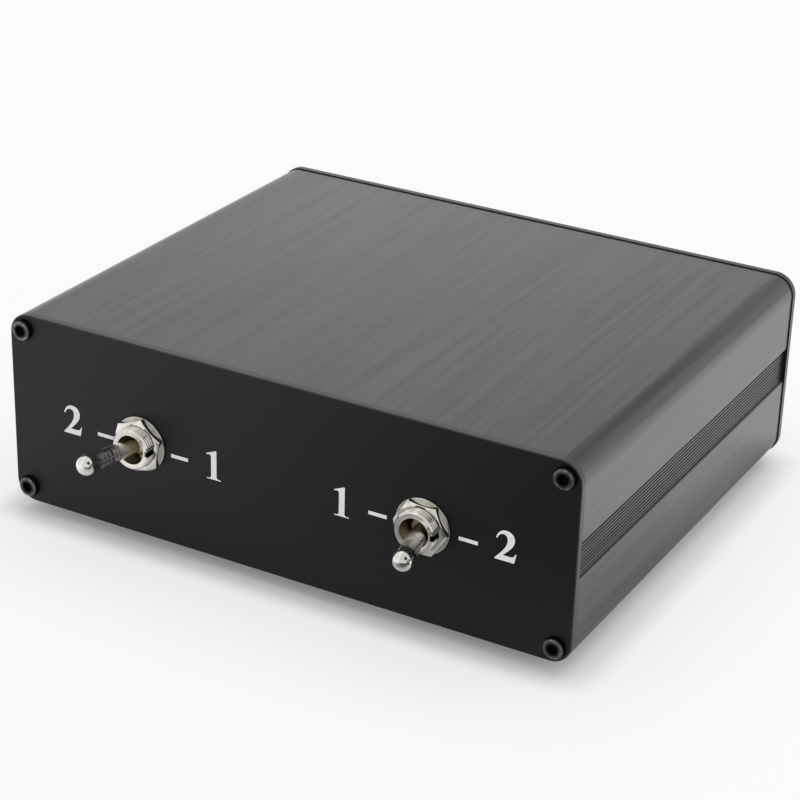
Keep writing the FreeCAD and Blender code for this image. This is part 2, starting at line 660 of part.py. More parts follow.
def switches():
    """Both toggle switches: the same pieces, with the levers thrown apart."""
    bush_piece, lever_piece, yoke_piece, nut_piece = bush(), lever(), yoke(), nut()
    strap_piece, housing_piece, rocker_piece = strap(), housing(), rocker()
    washer_piece = ring("washer_pattern", s.washer_diameter, s.bush_diameter + s.fit_gap * 2,
                        (-s.washer_thickness, 0.0))
    pin_piece = post("pin_pattern", s.pin_diameter, around(0.0, s.pin_length))
    fixed_piece = terminal("fixed", (contact_front, contact_front + s.contact_height))
    saddle_piece = terminal("common", (rocker_depth + s.rocker_thickness / 2 + s.saddle_gap, floor_front))
    for name, across in SWITCHES.items():
        thrown = -1 if name == "amplifier" else 1
        at_axis = placement(across, 0.0, s.switch_level)
        at_pivot = placement(across, s.pivot_depth, s.switch_level, turn=rest_turn * thrown)
        copies(f"{name}_bush", bush_piece, [at_axis])
        copies(f"{name}_lever", lever_piece, [at_pivot])
        copies(f"{name}_yoke", yoke_piece, [at_pivot])
        copies(f"{name}_pivot_pin", pin_piece, [placement(across, s.pivot_depth, s.switch_level)])
        copies(f"{name}_washer", washer_piece, [at_axis])
        nut_turn = -s.nut_turn_amplifier if name == "amplifier" else -s.nut_turn_speaker
        nut_depths = (-s.washer_thickness, s.plate_thickness + s.nut_thickness)
        copies(f"{name}_nuts", nut_piece,
               [placement(across, depth, s.switch_level, (0, 1, 0), nut_turn) for depth in nut_depths])
        copies(f"{name}_strap", strap_piece, [at_axis])
        copies(f"{name}_housing", housing_piece, [at_axis])
        rocked = rest_rock * -thrown
        copies(f"{name}_rockers", rocker_piece,
               [placement(across, rocker_depth, s.switch_level + level, turn=rocked) for level in POLES])
        spots = {side: [placement(across + x, 0.0, s.switch_level + level) for level in POLES]
                 for side, x in zip(("low", "middle", "high"), THROWS)}
        terminals(f"{name}_terminals", fixed_piece, saddle_piece, spots)


def terminals(label, fixed_piece, saddle_piece, spots):
    """The twelve terminals of one switch in a single node."""
    copies(label, fixed_piece, spots["low"] + spots["high"])
    sides = parts.pop(label)
    copies(label + "_middle", saddle_piece, spots["middle"])
    middle = parts.pop(label + "_middle")
    node = doc.addObject("Part::Compound", label + "_node")
    node.Links = [sides, middle]
    sides.Label = label + "_sides"
    node.Label = label
    parts[label] = node


# ---------------------------------------------------------------- binding posts

def cap():
    """The screwed cap of a binding post, turned about Y, with a plain neck and a bevelled end."""
    body = doc.addObject("PartDesign::Body", "cap_pattern")
    bore = s.stud_diameter / 2 + s.cap_gap
    neck, grip = s.cap_neck / 2, s.cap_diameter / 2
    points = [(bore, 0.0), (neck, 0.0), (neck, s.cap_neck_length),
              (grip, s.cap_neck_length + s.cap_bevel / 2), (grip, s.cap_length - s.cap_bevel),
              (grip - s.cap_bevel, s.cap_length), (bore, s.cap_length)]
    sketch = outline(body, "cap_outline", "XY_Plane", points)
    turned = body.newObject("PartDesign::Revolution", "cap_turned")
    turned.Profile = sketch
    turned.ReferenceAxis = (sketch, ["V_Axis"])
    turned.Angle = 360
    return body


def stud():
    """The metal stud of a binding post, bored for a 4 mm plug and cross-drilled for a bare wire."""
    bar = rod("stud_bar", s.stud_diameter, (stud_front, stud_back))
    bore = rod("stud_bore", s.socket_bore, (stud_back - s.bore_depth, stud_back))
    drilled = post("stud_cross_hole", s.cross_hole, around(0.0, s.stud_diameter), y=cross_hole_depth)
    return cut("stud_pattern", bar, bore, drilled)


def insulator(name, diameter, y_range, shoulder):
    """An insulating collar whose shoulder centres it in the rear plate's hole."""
    wide = rod(name + "_disc", diameter, y_range)
    narrow = rod(name + "_shoulder", s.shoulder_diameter, shoulder)
    bore = rod(name + "_bore", s.stud_diameter + s.thread_gap * 2, (stud_front, cap_front))
    return cut(name + "_pattern", fuse(name + "_blank", wide, narrow), bore)


def solder_tag():
    """A ring tag whose tongue points up; its hole takes the wire."""
    disc = rod("tag_disc", s.tag_ring, (tag_front, tag_back))
    tongue = box("tag_tongue", around(0.0, s.tag_width), (tag_front, tag_back), (0.0, s.tag_reach))
    bore = rod("tag_bore", s.stud_diameter + s.thread_gap * 2, (tag_front, tag_back))
    return cut("tag_pattern", fuse("tag_blank", disc, tongue), bore)


def post_nut():
    bar = hexagon("post_nut_bar", s.post_nut_width, (nut_front, tag_front))
    bore = rod("post_nut_bore", s.stud_diameter + s.thread_gap * 2, (nut_front, tag_front))
    return cut("post_nut_pattern", bar, bore)


def column_group(column):
    """The stereo pair that a column of posts belongs to."""
    groups = ("amplifier_1", "amplifier_2", "speaker_1", "speaker_2")
    return groups[column * len(groups) // COLUMNS]


def binding_posts():
    """Eight columns of posts in two rows: positive above and negative below."""
    cap_piece, stud_piece, nut_piece, tag_piece = cap(), stud(), post_nut(), solder_tag()
    outer = insulator("outer_insulator", s.collar_diameter, (rear_face, cap_front),
                      (rear_face - s.shoulder_height, cap_front))
    inner = insulator("inner_insulator", s.bush_washer_diameter, (tag_back, rear_plate_front),
                      (tag_back, rear_plate_front + s.shoulder_height))
    posts = [(column, x, sign) for column, x in enumerate(COLUMN_PLACES) for sign in ("positive", "negative")]
    for column, x, sign in posts:
        label = f"{column_group(column)}_{'left' if column % 2 == 0 else 'right'}_{sign}_cap"
        copies(label, cap_piece, [placement(x, cap_front, ROW_PLACES[sign])])
    for group in sorted({column_group(column) for column, x, sign in posts}):
        copies(f"{group}_studs", stud_piece, [placement(x, 0.0, ROW_PLACES[sign])
                                              for column, x, sign in posts if column_group(column) == group])
    insulators = fuse("insulator_pair", outer, inner)
    for sign, colour in (("positive", "red"), ("negative", "black")):
        row_places = [placement(x, 0.0, ROW_PLACES[sign]) for x in COLUMN_PLACES]
        copies(f"{colour}_insulators", insulators, row_places)
    copies("post_nuts", nut_piece, [placement(x, 0.0, ROW_PLACES[sign]) for column, x, sign in posts])
    copies("solder_tags", tag_piece,
           [placement(x, 0.0, ROW_PLACES[sign], (0, 1, 0), 180 if sign == "positive" else 0)
            for column, x, sign in posts])


# ---------------------------------------------------------------- wires

LARGEST_SHARE = 0.45    # of the shorter run beside a bend, which the bend may take up


def tube(corners, radius):
    """A round wire along straight runs that are joined by tangent arcs."""
    points = [FreeCAD.Vector(*[number(value) for value in corner]) for corner in corners]
    edges = []
    start = points[0]
    for before, corner, after in zip(points, points[1:], points[2:]):
        back, ahead = (before - corner).normalize(), (after - corner).normalize()
        half_turn = (math.pi - back.getAngle(ahead)) / 2
        shorter_run = min((before - corner).Length, (after - corner).Length)
        reach = min(radius * math.tan(half_turn), LARGEST_SHARE * shorter_run)
        arc_start, arc_end = corner + back * reach, corner + ahead * reach
        bulge = reach / math.tan(half_turn) * (1 / math.cos(half_turn) - 1)
        inward = (back + ahead).normalize()
        edges.append(Part.LineSegment(start, arc_start).toShape())
        edges.append(Part.Arc(arc_start, corner + inward * bulge, arc_end).toShape())
        start = arc_end
    edges.append(Part.LineSegment(start, points[-1]).toShape())
    section = Part.Wire(Part.makeCircle(number(s.wire_diameter) / 2, points[0], points[1] - points[0]))
    return Part.Wire(edges).makePipeShell([section], True, False)


def wires():
    """Wires from each post to its switch, and the links between the two switches' middle terminals."""
    runs = {"positive": [], "negative": []}
    tag_levels = {"positive": ROW_PLACES["positive"] - s.tag_hole,
                  "negative": ROW_PLACES["negative"] + s.tag_hole}
    for column, x in enumerate(COLUMN_PLACES):
        group = column_group(column)
        switch = SWITCHES[group.split("_")[0]]
        terminal_x = switch + (THROWS[0] if group.endswith("1") else THROWS[2])
        outermost = column in (0, 3, 4, 7)
        for sign, near, far in (("positive", POLES[2], POLES[3]), ("negative", POLES[1], POLES[0])):
            level = s.switch_level + (far if outermost else near)
            tag_level = tag_levels[sign]
            runs[sign].append([(x, tag_front, tag_level), (x, tag_front - s.rear_run, tag_level),
                               (terminal_x, lug_back + s.front_run, level), (terminal_x, lug_back, level)])
    for index, step in enumerate(POLES):
        level = s.switch_level + step
        dropped = level - s.pole_pitch / 2
        left, right = [[(x, lug_back, level), (x, lug_back + s.link_lead, level),
                        (x, lug_back + s.link_drop, dropped), (x, lug_back + s.link_run, dropped)]
                       for x in SWITCHES.values()]
        runs["positive" if index > 1 else "negative"].append(left + right[::-1])
    for sign, colour in (("positive", "red"), ("negative", "black")):
        bends = [s.link_bend if len(route) > 4 else s.bend_radius for route in runs[sign]]
        pieces = [tube(route, number(bend)) for route, bend in zip(runs[sign], bends)]
        node = doc.addObject("Part::Feature", f"{colour}_wires")
        node.Shape = Part.makeCompound(pieces)
        node.Placement.Base = FreeCAD.Vector(0, -number(middle_depth), number(s.foot_height))
        node.Label = f"{colour}_wires"
        parts[node.Label] = node


# ---------------------------------------------------------------- model

top_shell()
bottom_shell()
plates()
plate_screws()
feet()
switches()
binding_posts()
wires()
doc.recompute()

for item in doc.Objects:
    if "Invalid" in item.State or "Error" in item.State:
        raise RuntimeError(f"{item.Label} failed: {item.State}")
for label, item in parts.items():
    if item.Shape.isNull() or not item.Shape.isValid() or not item.Shape.Solids:
        raise RuntimeError(f"{label} has no valid shape")

os.makedirs("parts", exist_ok=True)
for label, item in parts.items():
    item.Shape.exportStep(f"parts/{label}.step")
    box_size = item.Shape.BoundBox
    print(f"{label}: {len(item.Shape.Solids)} solids, {item.Shape.Volume:.1f} mm3, "
          f"{box_size.XLength:.2f} x {box_size.YLength:.2f} x {box_size.ZLength:.2f}")
print(len(parts), "nodes")
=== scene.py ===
import json
import math

import bmesh
import bpy
from mathutils import Matrix, Vector


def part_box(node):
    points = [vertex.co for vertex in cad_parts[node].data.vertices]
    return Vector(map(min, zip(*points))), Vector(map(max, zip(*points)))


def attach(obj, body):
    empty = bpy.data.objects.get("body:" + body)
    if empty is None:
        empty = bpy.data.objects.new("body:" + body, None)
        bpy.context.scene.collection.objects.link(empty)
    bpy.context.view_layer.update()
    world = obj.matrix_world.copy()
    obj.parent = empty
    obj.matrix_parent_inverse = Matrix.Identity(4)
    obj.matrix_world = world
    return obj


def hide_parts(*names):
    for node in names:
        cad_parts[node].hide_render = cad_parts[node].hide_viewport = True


bl_info = {
    "name": "Speaker selector",
    "version": (1, 0, 0),
    "blender": (4, 5, 0),
    "location": "3D View > Sidebar > Selector",
    "description": "Finishes, threads, knurls and printed figures of a two-way speaker selector",
    "category": "Object",
}

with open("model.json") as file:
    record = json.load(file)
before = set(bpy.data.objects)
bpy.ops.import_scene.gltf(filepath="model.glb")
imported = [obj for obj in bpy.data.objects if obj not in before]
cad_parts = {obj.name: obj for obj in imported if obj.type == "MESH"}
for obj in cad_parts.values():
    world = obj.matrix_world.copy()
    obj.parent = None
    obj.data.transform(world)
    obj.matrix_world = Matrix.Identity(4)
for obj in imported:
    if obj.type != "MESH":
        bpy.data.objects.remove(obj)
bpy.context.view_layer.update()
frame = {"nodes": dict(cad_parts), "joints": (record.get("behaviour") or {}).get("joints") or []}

MM = 0.001
SWITCHES = ("amplifier", "speaker")
SIGNS = {"positive": "red", "negative": "black"}


# ---------------------------------------------------------------- places read from the frame

def middle(node):
    """The middle of a CAD node's box."""
    low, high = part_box(node)
    return (low + high) / 2


def axis_of(node):
    """Where the Y axis of a turned CAD node crosses the plane Y = 0."""
    place = middle(node)
    return Vector((place.x, 0, place.z))


def four_of(name):
    """The names of four numbered CAD nodes."""
    return [f"{name}_{index}" for index in range(1, 5)]


def bush_radius(switch):
    """The radius of a switch's bush, read across its height, because the keyway is cut in its side."""
    low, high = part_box(f"{switch}_bush")
    return (high.z - low.z) / 2


def lever_joint(switch):
    return next(joint for joint in frame["joints"] if joint["name"] == f"{switch}_lever_pivot")


def pivot(switch):
    """Where a switch's lever turns."""
    return Vector(lever_joint(switch)["pos_m"])


plate_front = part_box("front_plate")[0].y
rear_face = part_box("rear_plate")[1].y
switch_places = {switch: axis_of(f"{switch}_washer") for switch in SWITCHES}
cap_nodes = sorted(node for node in frame["nodes"] if node.endswith("_cap"))
stud_nodes = sorted(node for node in frame["nodes"] if node.endswith("_studs"))
collar_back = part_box(cap_nodes[0])[0].y


# ---------------------------------------------------------------- settings

def size(name, description, millimetres):
    """A length that a user can change, given in millimetres."""
    return bpy.props.FloatProperty(name=name, description=description, default=millimetres * MM,
                                   unit="LENGTH", subtype="DISTANCE", precision=5)


def four_sizes(name, description, *millimetres):
    """Four lengths, from left to right."""
    return bpy.props.FloatVectorProperty(name=name, description=description, size=4,
                                         default=[length * MM for length in millimetres],
                                         unit="LENGTH", precision=5)


def angle(name, description, degrees):
    return bpy.props.FloatProperty(name=name, description=description, default=math.radians(degrees),
                                   unit="ROTATION", subtype="ANGLE")


def colour(name, description, *rgb):
    return bpy.props.FloatVectorProperty(name=name, description=description, size=3, default=rgb,
                                         subtype="COLOR", min=0, max=1)


def share(name, description, value):
    return bpy.props.FloatProperty(name=name, description=description, default=value, min=0, max=1,
                                   subtype="FACTOR")


def count(name, description, value):
    return bpy.props.IntProperty(name=name, description=description, default=value, min=3)


class CaseFinish(bpy.types.PropertyGroup):
    shell_colour: colour("Shell", "Anodised colour of the two extrusions", 0.034, 0.034, 0.0355)
    plate_colour: colour("Plates", "Anodised colour of the end plates", 0.0032, 0.0030, 0.0032)
    edge_colour: colour("Plate edges", "Colour of the end plates' milled edges", 0.060, 0.060, 0.062)
    shell_gloss: share("Shell roughness", "Roughness of the extrusions", 0.22)
    plate_gloss: share("Plate roughness", "Roughness of the end plates", 0.46)
    plate_sheen: share("Plate sheen", "How strongly the end plates reflect", 0.35)
    # The seam's paler colour is painted light that lifts the shade in the recess corner under the ribs.
    seam_level: size("Seam", "Height over the ground of the paler seam under the ribs", 26.3)
    painted_seam_light: colour("Seam colour", "Colour of the seam under the ribs", 0.085, 0.085, 0.085)
    line_width: size("Brush line", "Width of one brush line", 0.32)
    line_length: size("Brush length", "Length of one brush line", 26.0)
    rubber_colour: colour("Feet", "Colour of the rubber feet", 0.018, 0.018, 0.018)


class ToggleSizes(bpy.types.PropertyGroup):
    thread_pitch: size("Thread pitch", "Pitch of the bush's thread", 0.75)
    thread_depth: size("Thread depth", "Depth of the bush's thread", 0.36)
    bore: size("Bore", "Diameter of the bush's mouth", 7.8)
    key_width: size("Key width", "Width of the keyway", 1.6)
    key_depth: size("Key depth", "Depth of the keyway", 1.15)
    nut_width: size("Nut", "Width of the nut across flats", 13.2)
    nut_bevel: angle("Nut bevel", "Slope of the nut's bevel from its face", 30)
    ball: size("Ball", "Diameter of the lever's pivot ball", 6.4)
    root: size("Root", "Diameter of the lever beside its ball", 3.9)
    shaft: size("Shaft", "Diameter of the lever beside its tip", 5.3)
    tip: size("Tip", "Diameter of the lever's round tip", 5.4)
    reach: size("Reach", "From the pivot to the middle of the tip", 18.5)
    tail: size("Tail", "Diameter of the lever's tail", 3.2)
    tail_reach: size("Tail reach", "From the pivot to the end of the tail", 11.0)


class ScrewSizes(bpy.types.PropertyGroup):
    head: size("Head", "Diameter of the screw's head", 5.5)
    head_height: size("Head height", "Height of the screw's head", 2.0)
    sunk: size("Sunk", "How deep the head sits in the plate", 0.5)
    shank: size("Shank", "Diameter of the screw", 3.0)
    length: size("Length", "Length under the head", 10.0)
    socket: size("Socket", "Width of the hexagon socket across flats", 2.5)
    socket_depth: size("Socket depth", "Depth of the hexagon socket", 1.2)
    ridges: count("Ridges", "Knurled ridges round the head", 30)
    ridge_depth: size("Ridge depth", "Depth of the knurl", 0.14)


class PostSizes(bpy.types.PropertyGroup):
    flutes: count("Flutes", "Flutes round a cap", 22)
    flute_depth: size("Flute depth", "Depth of the flutes", 0.45)
    neck: size("Neck", "Diameter of the cap's neck", 11.4)
    neck_length: size("Neck length", "Length of the cap's neck", 1.6)
    bevel: size("Bevel", "Bevel at the cap's end", 1.2)
    cap_bore: size("Cap bore", "Diameter of the hole through the cap", 6.12)
    stud: size("Stud", "Diameter of the stud", 6.0)
    socket: size("Socket", "Diameter of the plug socket", 4.1)
    socket_depth: size("Socket depth", "Depth of the plug socket", 13.5)
    cross_hole: size("Cross hole", "Diameter of the hole for a bare wire", 2.4)
    cross_hole_offset: size("Cross hole offset", "From the collar to the middle of the cross hole", 1.6)
    thread_pitch: size("Thread pitch", "Pitch of the stud's thread", 1.0)
    thread_depth: size("Thread depth", "Depth of the stud's thread", 0.3)
    collar: size("Collar", "Diameter of the outer insulator", 14.0)
    shoulder: size("Shoulder", "Diameter of the insulators' shoulders", 8.0)
    shoulder_height: size("Shoulder height", "How far a shoulder reaches into the plate", 0.95)
    inner_collar: size("Inner collar", "Diameter of the inner insulator", 12.0)
    inner_height: size("Inner height", "Thickness of the inner insulator", 1.5)
    plastic_red: colour("Red", "Colour of the positive caps", 0.42, 0.010, 0.012)
    plastic_black: colour("Black", "Colour of the negative caps", 0.012, 0.012, 0.013)


class PrintSizes(bpy.types.PropertyGroup):
    figure_height: size("Figure height", "Height of a printed figure", 8.2)
    figures: four_sizes("Figures", "Across the plate from its middle to each figure",
                        -63.4, -19.1, 18.6, 63.7)
    figure_levels: four_sizes("Figure levels", "Height of each figure's foot over the ground",
                              27.0, 25.75, 26.0, 27.0)
    dashes: four_sizes("Dashes", "Across the plate from its middle to each dash", -52.65, -29.65, 28.7, 53.8)
    dash_levels: four_sizes("Dash levels", "Height of each dash over the ground", 29.2, 29.1, 29.4, 29.55)
    dash_length: size("Dash length", "Length of a dash", 5.2)
    dash_width: size("Dash width", "Width of a dash", 1.0)
    ink: colour("Ink", "Colour of the print", 0.95, 0.95, 0.94)


class StageSettings(bpy.types.PropertyGroup):
    floor_colour: colour("Floor", "Colour of the floor", 0.93, 0.93, 0.93)
    camera_side: angle("Camera side", "Turn of the camera from straight ahead", 28.803)
    camera_rise: angle("Camera rise", "Height of the camera as an angle", 25.279)
    camera_roll: angle("Camera roll", "Tilt of the camera about its own axis", 1.708)
    camera_place: bpy.props.FloatVectorProperty(name="Camera place", description="Where the camera stands",
                                                size=3, default=(0.27356, -0.50429, 0.29659),
                                                subtype="TRANSLATION", unit="LENGTH")
    lens: bpy.props.FloatProperty(name="Lens", description="Focal length on a 36 mm sensor",
                                  default=104.329, unit="CAMERA")


SETTINGS = {"case_finish": CaseFinish, "toggle_sizes": ToggleSizes, "screw_sizes": ScrewSizes,
            "post_sizes": PostSizes, "print_sizes": PrintSizes, "stage_settings": StageSettings}


# ---------------------------------------------------------------- node graphs

class Flow:
    """A socket's value, so that node maths reads as an expression."""

    def __init__(self, graph, socket):
        self.graph = graph
        self.socket = socket

    def __add__(self, other):
        return self.graph.math("ADD", self, other)

    def __sub__(self, other):
        return self.graph.math("SUBTRACT", self, other)

    def __rsub__(self, other):
        return self.graph.math("SUBTRACT", other, self)

    def __mul__(self, other):
        return self.graph.math("MULTIPLY", self, other)

    def __truediv__(self, other):
        return self.graph.math("DIVIDE", self, other)

    __radd__ = __add__
    __rmul__ = __mul__


class Graph:
    """Adds nodes to a shader or geometry node tree."""

    def __init__(self, tree):
        self.tree = tree

    def node(self, kind, settings, values):
        """A node of a type, with its settings first and then the values or links of its sockets."""
        node = self.tree.nodes.new(kind)
        for name, value in settings.items():
            setattr(node, name, value)
        for name, value in values.items():
            if isinstance(value, Flow):
                self.tree.links.new(value.socket, node.inputs[name])
            else:
                node.inputs[name].default_value = value
        return node

    def flow(self, output, kind, settings=None, values=None):
        """One output of a new node."""
        return Flow(self, self.node(kind, settings or {}, values or {}).outputs[output])

    def math(self, operation, *values):
        return self.flow(0, "ShaderNodeMath", {"operation": operation}, dict(enumerate(values)))

    def vector(self, operation, *values):
        return self.flow(0, "ShaderNodeVectorMath", {"operation": operation}, dict(enumerate(values)))

    def parts(self, vector):
        """The three numbers of a vector."""
        split = self.node("ShaderNodeSeparateXYZ", {}, {0: vector})
        return [Flow(self, split.outputs[index]) for index in range(3)]

    def between(self, value, low, high, smooth=True):
        """0 under low, 1 over high."""
        kind = "SMOOTHSTEP" if smooth else "LINEAR"
        return self.flow(0, "ShaderNodeMapRange", {"interpolation_type": kind},
                         {"Value": value, "From Min": low, "From Max": high})

    def blend(self, amount, first, second):
        """A mix of two colours."""
        node = self.node("ShaderNodeMix", {"data_type": "RGBA"}, {"Factor": amount})
        for socket, value in zip((node.inputs[6], node.inputs[7]), (first, second)):
            if isinstance(value, Flow):
                self.tree.links.new(value.socket, socket)
            else:
                socket.default_value = (*value, 1)
        return Flow(self, node.outputs[2])


class Finish(Graph):
    """A material under construction, on object coordinates."""

    def __init__(self, name):
        self.material = bpy.data.materials.new(name)
        self.material.use_nodes = True
        super().__init__(self.material.node_tree)
        self.tree.nodes.clear()
        coordinates = self.node("ShaderNodeTexCoord", {}, {})
        self.place = Flow(self, coordinates.outputs["Object"])
        self.facing = Flow(self, coordinates.outputs["Normal"])

    def facing_along(self, axis):
        """1 where the surface looks along an axis, either way, and 0 where it looks square to it."""
        return self.math("ABSOLUTE", self.parts(self.facing)["XYZ".index(axis)])

    def grain(self, per_metre, detail=2.0):
        """Noise with so many lumps to a metre."""
        return self.flow("Fac", "ShaderNodeTexNoise", {}, {
            "Vector": self.place, "Scale": per_metre, "Detail": detail})

    def patches(self, per_metre, low, high):
        """Soft-edged patches of noise: 0 where it is under low, 1 where it is over high."""
        return self.between(self.grain(per_metre, detail=3.0), low, high)

    def streaks(self, across, along, axis, detail=2.0):
        """Noise drawn out along an axis, with lumps of so many metres across it and along it."""
        scale = [1 / across] * 3
        scale["XYZ".index(axis)] = 1 / along
        place = self.vector("MULTIPLY", self.place, tuple(scale))
        return self.flow("Fac", "ShaderNodeTexNoise", {}, {"Vector": place, "Scale": 1.0, "Detail": detail})

    def rings(self, radius, per_metre, detail):
        """Noise that changes with a distance alone, with so many lumps to a metre."""
        return self.flow("Fac", "ShaderNodeTexNoise", {"noise_dimensions": "1D"},
                         {"W": radius * per_metre, "Scale": 1.0, "Detail": detail})

    def bump(self, height, distance, strength=1.0, under=None):
        values = {"Height": height, "Distance": distance, "Strength": strength}
        if under is not None:
            values["Normal"] = under
        return self.flow("Normal", "ShaderNodeBump", {}, values)

    def done(self, **values):
        """Joins the values to a Principled surface and gives the material."""
        sockets = {name.replace("_", " ").title().replace("Ior", "IOR"): value
                   for name, value in values.items()}
        surface = self.flow("BSDF", "ShaderNodeBsdfPrincipled", {}, sockets)
        self.node("ShaderNodeOutputMaterial", {}, {"Surface": surface})
        return self.material


# ---------------------------------------------------------------- materials

def toned(rgb, factor):
    """A colour made darker or lighter."""
    return tuple(min(1, channel * factor) for channel in rgb)


def brushed_shell(name, settings):
    """Black anodised extrusion with brush lines along its depth, and a line along its sides under the ribs
    painted paler as painted light that lifts the shade in the recess corner.
    """
    finish = Finish(name)
    width, length = settings.line_width, settings.line_length
    fine = finish.streaks(width, length, "Y", detail=3.0)
    broad = finish.streaks(width * 6, length * 3, "Y")
    tone = finish.streaks(20 * MM, 60 * MM, "Y", detail=3.0)
    aside = finish.facing_along("X")
    lines = (fine * 0.7 + broad * 0.3) * (1 - aside * 0.85)
    shade = finish.blend(finish.between(broad, 0.3, 0.7), toned(settings.shell_colour, 0.7),
                         toned(settings.shell_colour, 1.4))
    # Painted light: a line under the ribs is made paler to lift the shade that falls in the recess corner.
    from_seam = finish.math("ABSOLUTE", finish.parts(finish.place)[2] - settings.seam_level)
    shade = finish.blend(finish.between(from_seam, 0.3 * MM, 0.7 * MM), settings.painted_seam_light, shade)
    rough = settings.shell_gloss - 0.05 + tone * 0.10 + (fine - 0.5) * (0.12 - aside * 0.06)
    return finish.done(base_color=shade, roughness=rough, ior=1.8,
                       normal=finish.bump(lines, 0.02 * MM, 0.5))


def satin_plate(name, settings):
    """Black anodised plate: finely brushed faces along X and smooth milled edges."""
    finish = Finish(name)
    edge_gloss = 0.30
    fine = finish.streaks(settings.line_width / 2, settings.line_length, "X", detail=3.0)
    tone = finish.grain(30.0, detail=3.0)
    face = finish.between(finish.facing_along("Y"), 0.55, 0.9)
    black = finish.blend(tone, settings.plate_colour, toned(settings.plate_colour, 1.5))
    rough = edge_gloss + face * (settings.plate_gloss - edge_gloss)
    rough = rough + (tone - 0.5) * 0.06 + (fine - 0.5) * 0.06
    return finish.done(base_color=finish.blend(face, settings.edge_colour, black), roughness=rough, ior=1.5,
                       specular_ior_level=settings.plate_sheen, normal=finish.bump(fine, 0.01 * MM, 0.3))


def plated(name, tint, roughness, waviness):
    """Plated metal with faint waves, small pits and a little tarnish."""
    finish = Finish(name)
    pits = finish.grain(5200.0, detail=4.0)
    tarnish = finish.patches(260.0, 0.42, 0.75)
    tarnished = tuple(channel * left for channel, left in zip(tint, (0.90, 0.86, 0.78)))
    waves = finish.bump(finish.grain(900.0), 0.04 * MM, waviness)
    return finish.done(base_color=finish.blend(tarnish, tint, tarnished), metallic=1.0,
                       roughness=roughness + tarnish * 0.08 + (pits - 0.5) * 0.08,
                       normal=finish.bump(pits, 0.004 * MM, 0.3, waves))


def round_each(finish, places, level=0.0):
    """The distance to the nearest of some axes along Y that mirror in X, and in Z about a level."""
    across, depth, height = finish.parts(finish.place)
    aside = finish.math("ABSOLUTE", across) - places.x
    above = height - places.z
    if level:
        above = finish.math("ABSOLUTE", height - level) - (places.z - level)
    return finish.math("SQRT", aside * aside + above * above)


def turned_nickel(name, bright, worn, bore):
    """Nickel plate over machined faces: fine rings about each switch's axis, painted shade darkening the
    thread's valleys, dull and tan inside the bore."""
    finish = Finish(name)
    valley_shade, greasy = (0.24, 0.22, 0.18), (0.62, 0.55, 0.43)
    crest = bush_radius("speaker")
    thread_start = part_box("speaker_bush")[0].y + 0.5 * MM
    radius = round_each(finish, switch_places["speaker"])
    rings = finish.rings(radius, 9000, detail=2.0)
    flat = finish.between(finish.facing_along("Y"), 0.8, 0.97)
    tarnish = finish.patches(420.0, 0.45, 0.8)
    inside = 1 - finish.between(radius, bore / 2 + 0.02 * MM, bore / 2 + 0.2 * MM)
    threaded = finish.between(finish.parts(finish.place)[1], thread_start, thread_start + 0.1 * MM)
    sunk = 1 - finish.between(radius, crest - 0.32 * MM, crest - 0.08 * MM)
    # Painted shade: the thread's valleys are darkened where shade falls between the crests.
    plate = finish.blend(threaded * (1 - flat) * sunk, finish.blend(tarnish, bright, worn), valley_shade)
    rough = 0.14 + flat * rings * 0.12 + tarnish * 0.08 + inside * 0.18
    marks = finish.bump(rings * flat, 0.006 * MM, 0.35)
    return finish.done(base_color=finish.blend(inside, plate, greasy), metallic=1.0, roughness=rough,
                       normal=finish.bump(finish.grain(700.0), 0.03 * MM, 0.12, marks))


def bright_lever(name, sizes):
    """Bright plate, polished on the round tip and finely turned on the handle, tan where the ball is
    greased."""
    finish = Finish(name)
    bright, dull, greasy = (0.90, 0.885, 0.85), (0.80, 0.77, 0.70), (0.66, 0.59, 0.46)
    ball, tip_start = sizes.ball / 2, sizes.reach - sizes.tip / 2
    here = pivot("speaker")
    across, depth, height = finish.parts(finish.place)
    steps = [finish.math("ABSOLUTE", across) - here.x, depth - here.y, height - here.z]
    squares = [step * step for step in steps]
    reach = finish.math("SQRT", squares[0] + squares[1] + squares[2])
    greased = 1 - finish.between(reach, ball + 0.1 * MM, ball + 1.6 * MM)
    tip = finish.between(reach, tip_start, tip_start + MM)
    worn = finish.patches(300.0, 0.45, 0.8) * tip
    pits = finish.grain(5200.0, detail=3.0)
    grooves = finish.rings(reach, 26000, detail=1.0)
    shade = finish.blend(greased, finish.blend(worn, bright, dull), greasy)
    rough = 0.08 + worn * 0.05 + (pits * 0.04 - 0.03) * tip + greased * 0.2
    waves = finish.bump(finish.grain(500.0), 0.02 * MM, 0.08)
    return finish.done(base_color=shade, metallic=1.0, roughness=rough,
                       normal=finish.bump(grooves * (1 - tip), 0.014 * MM, 1.0, waves))


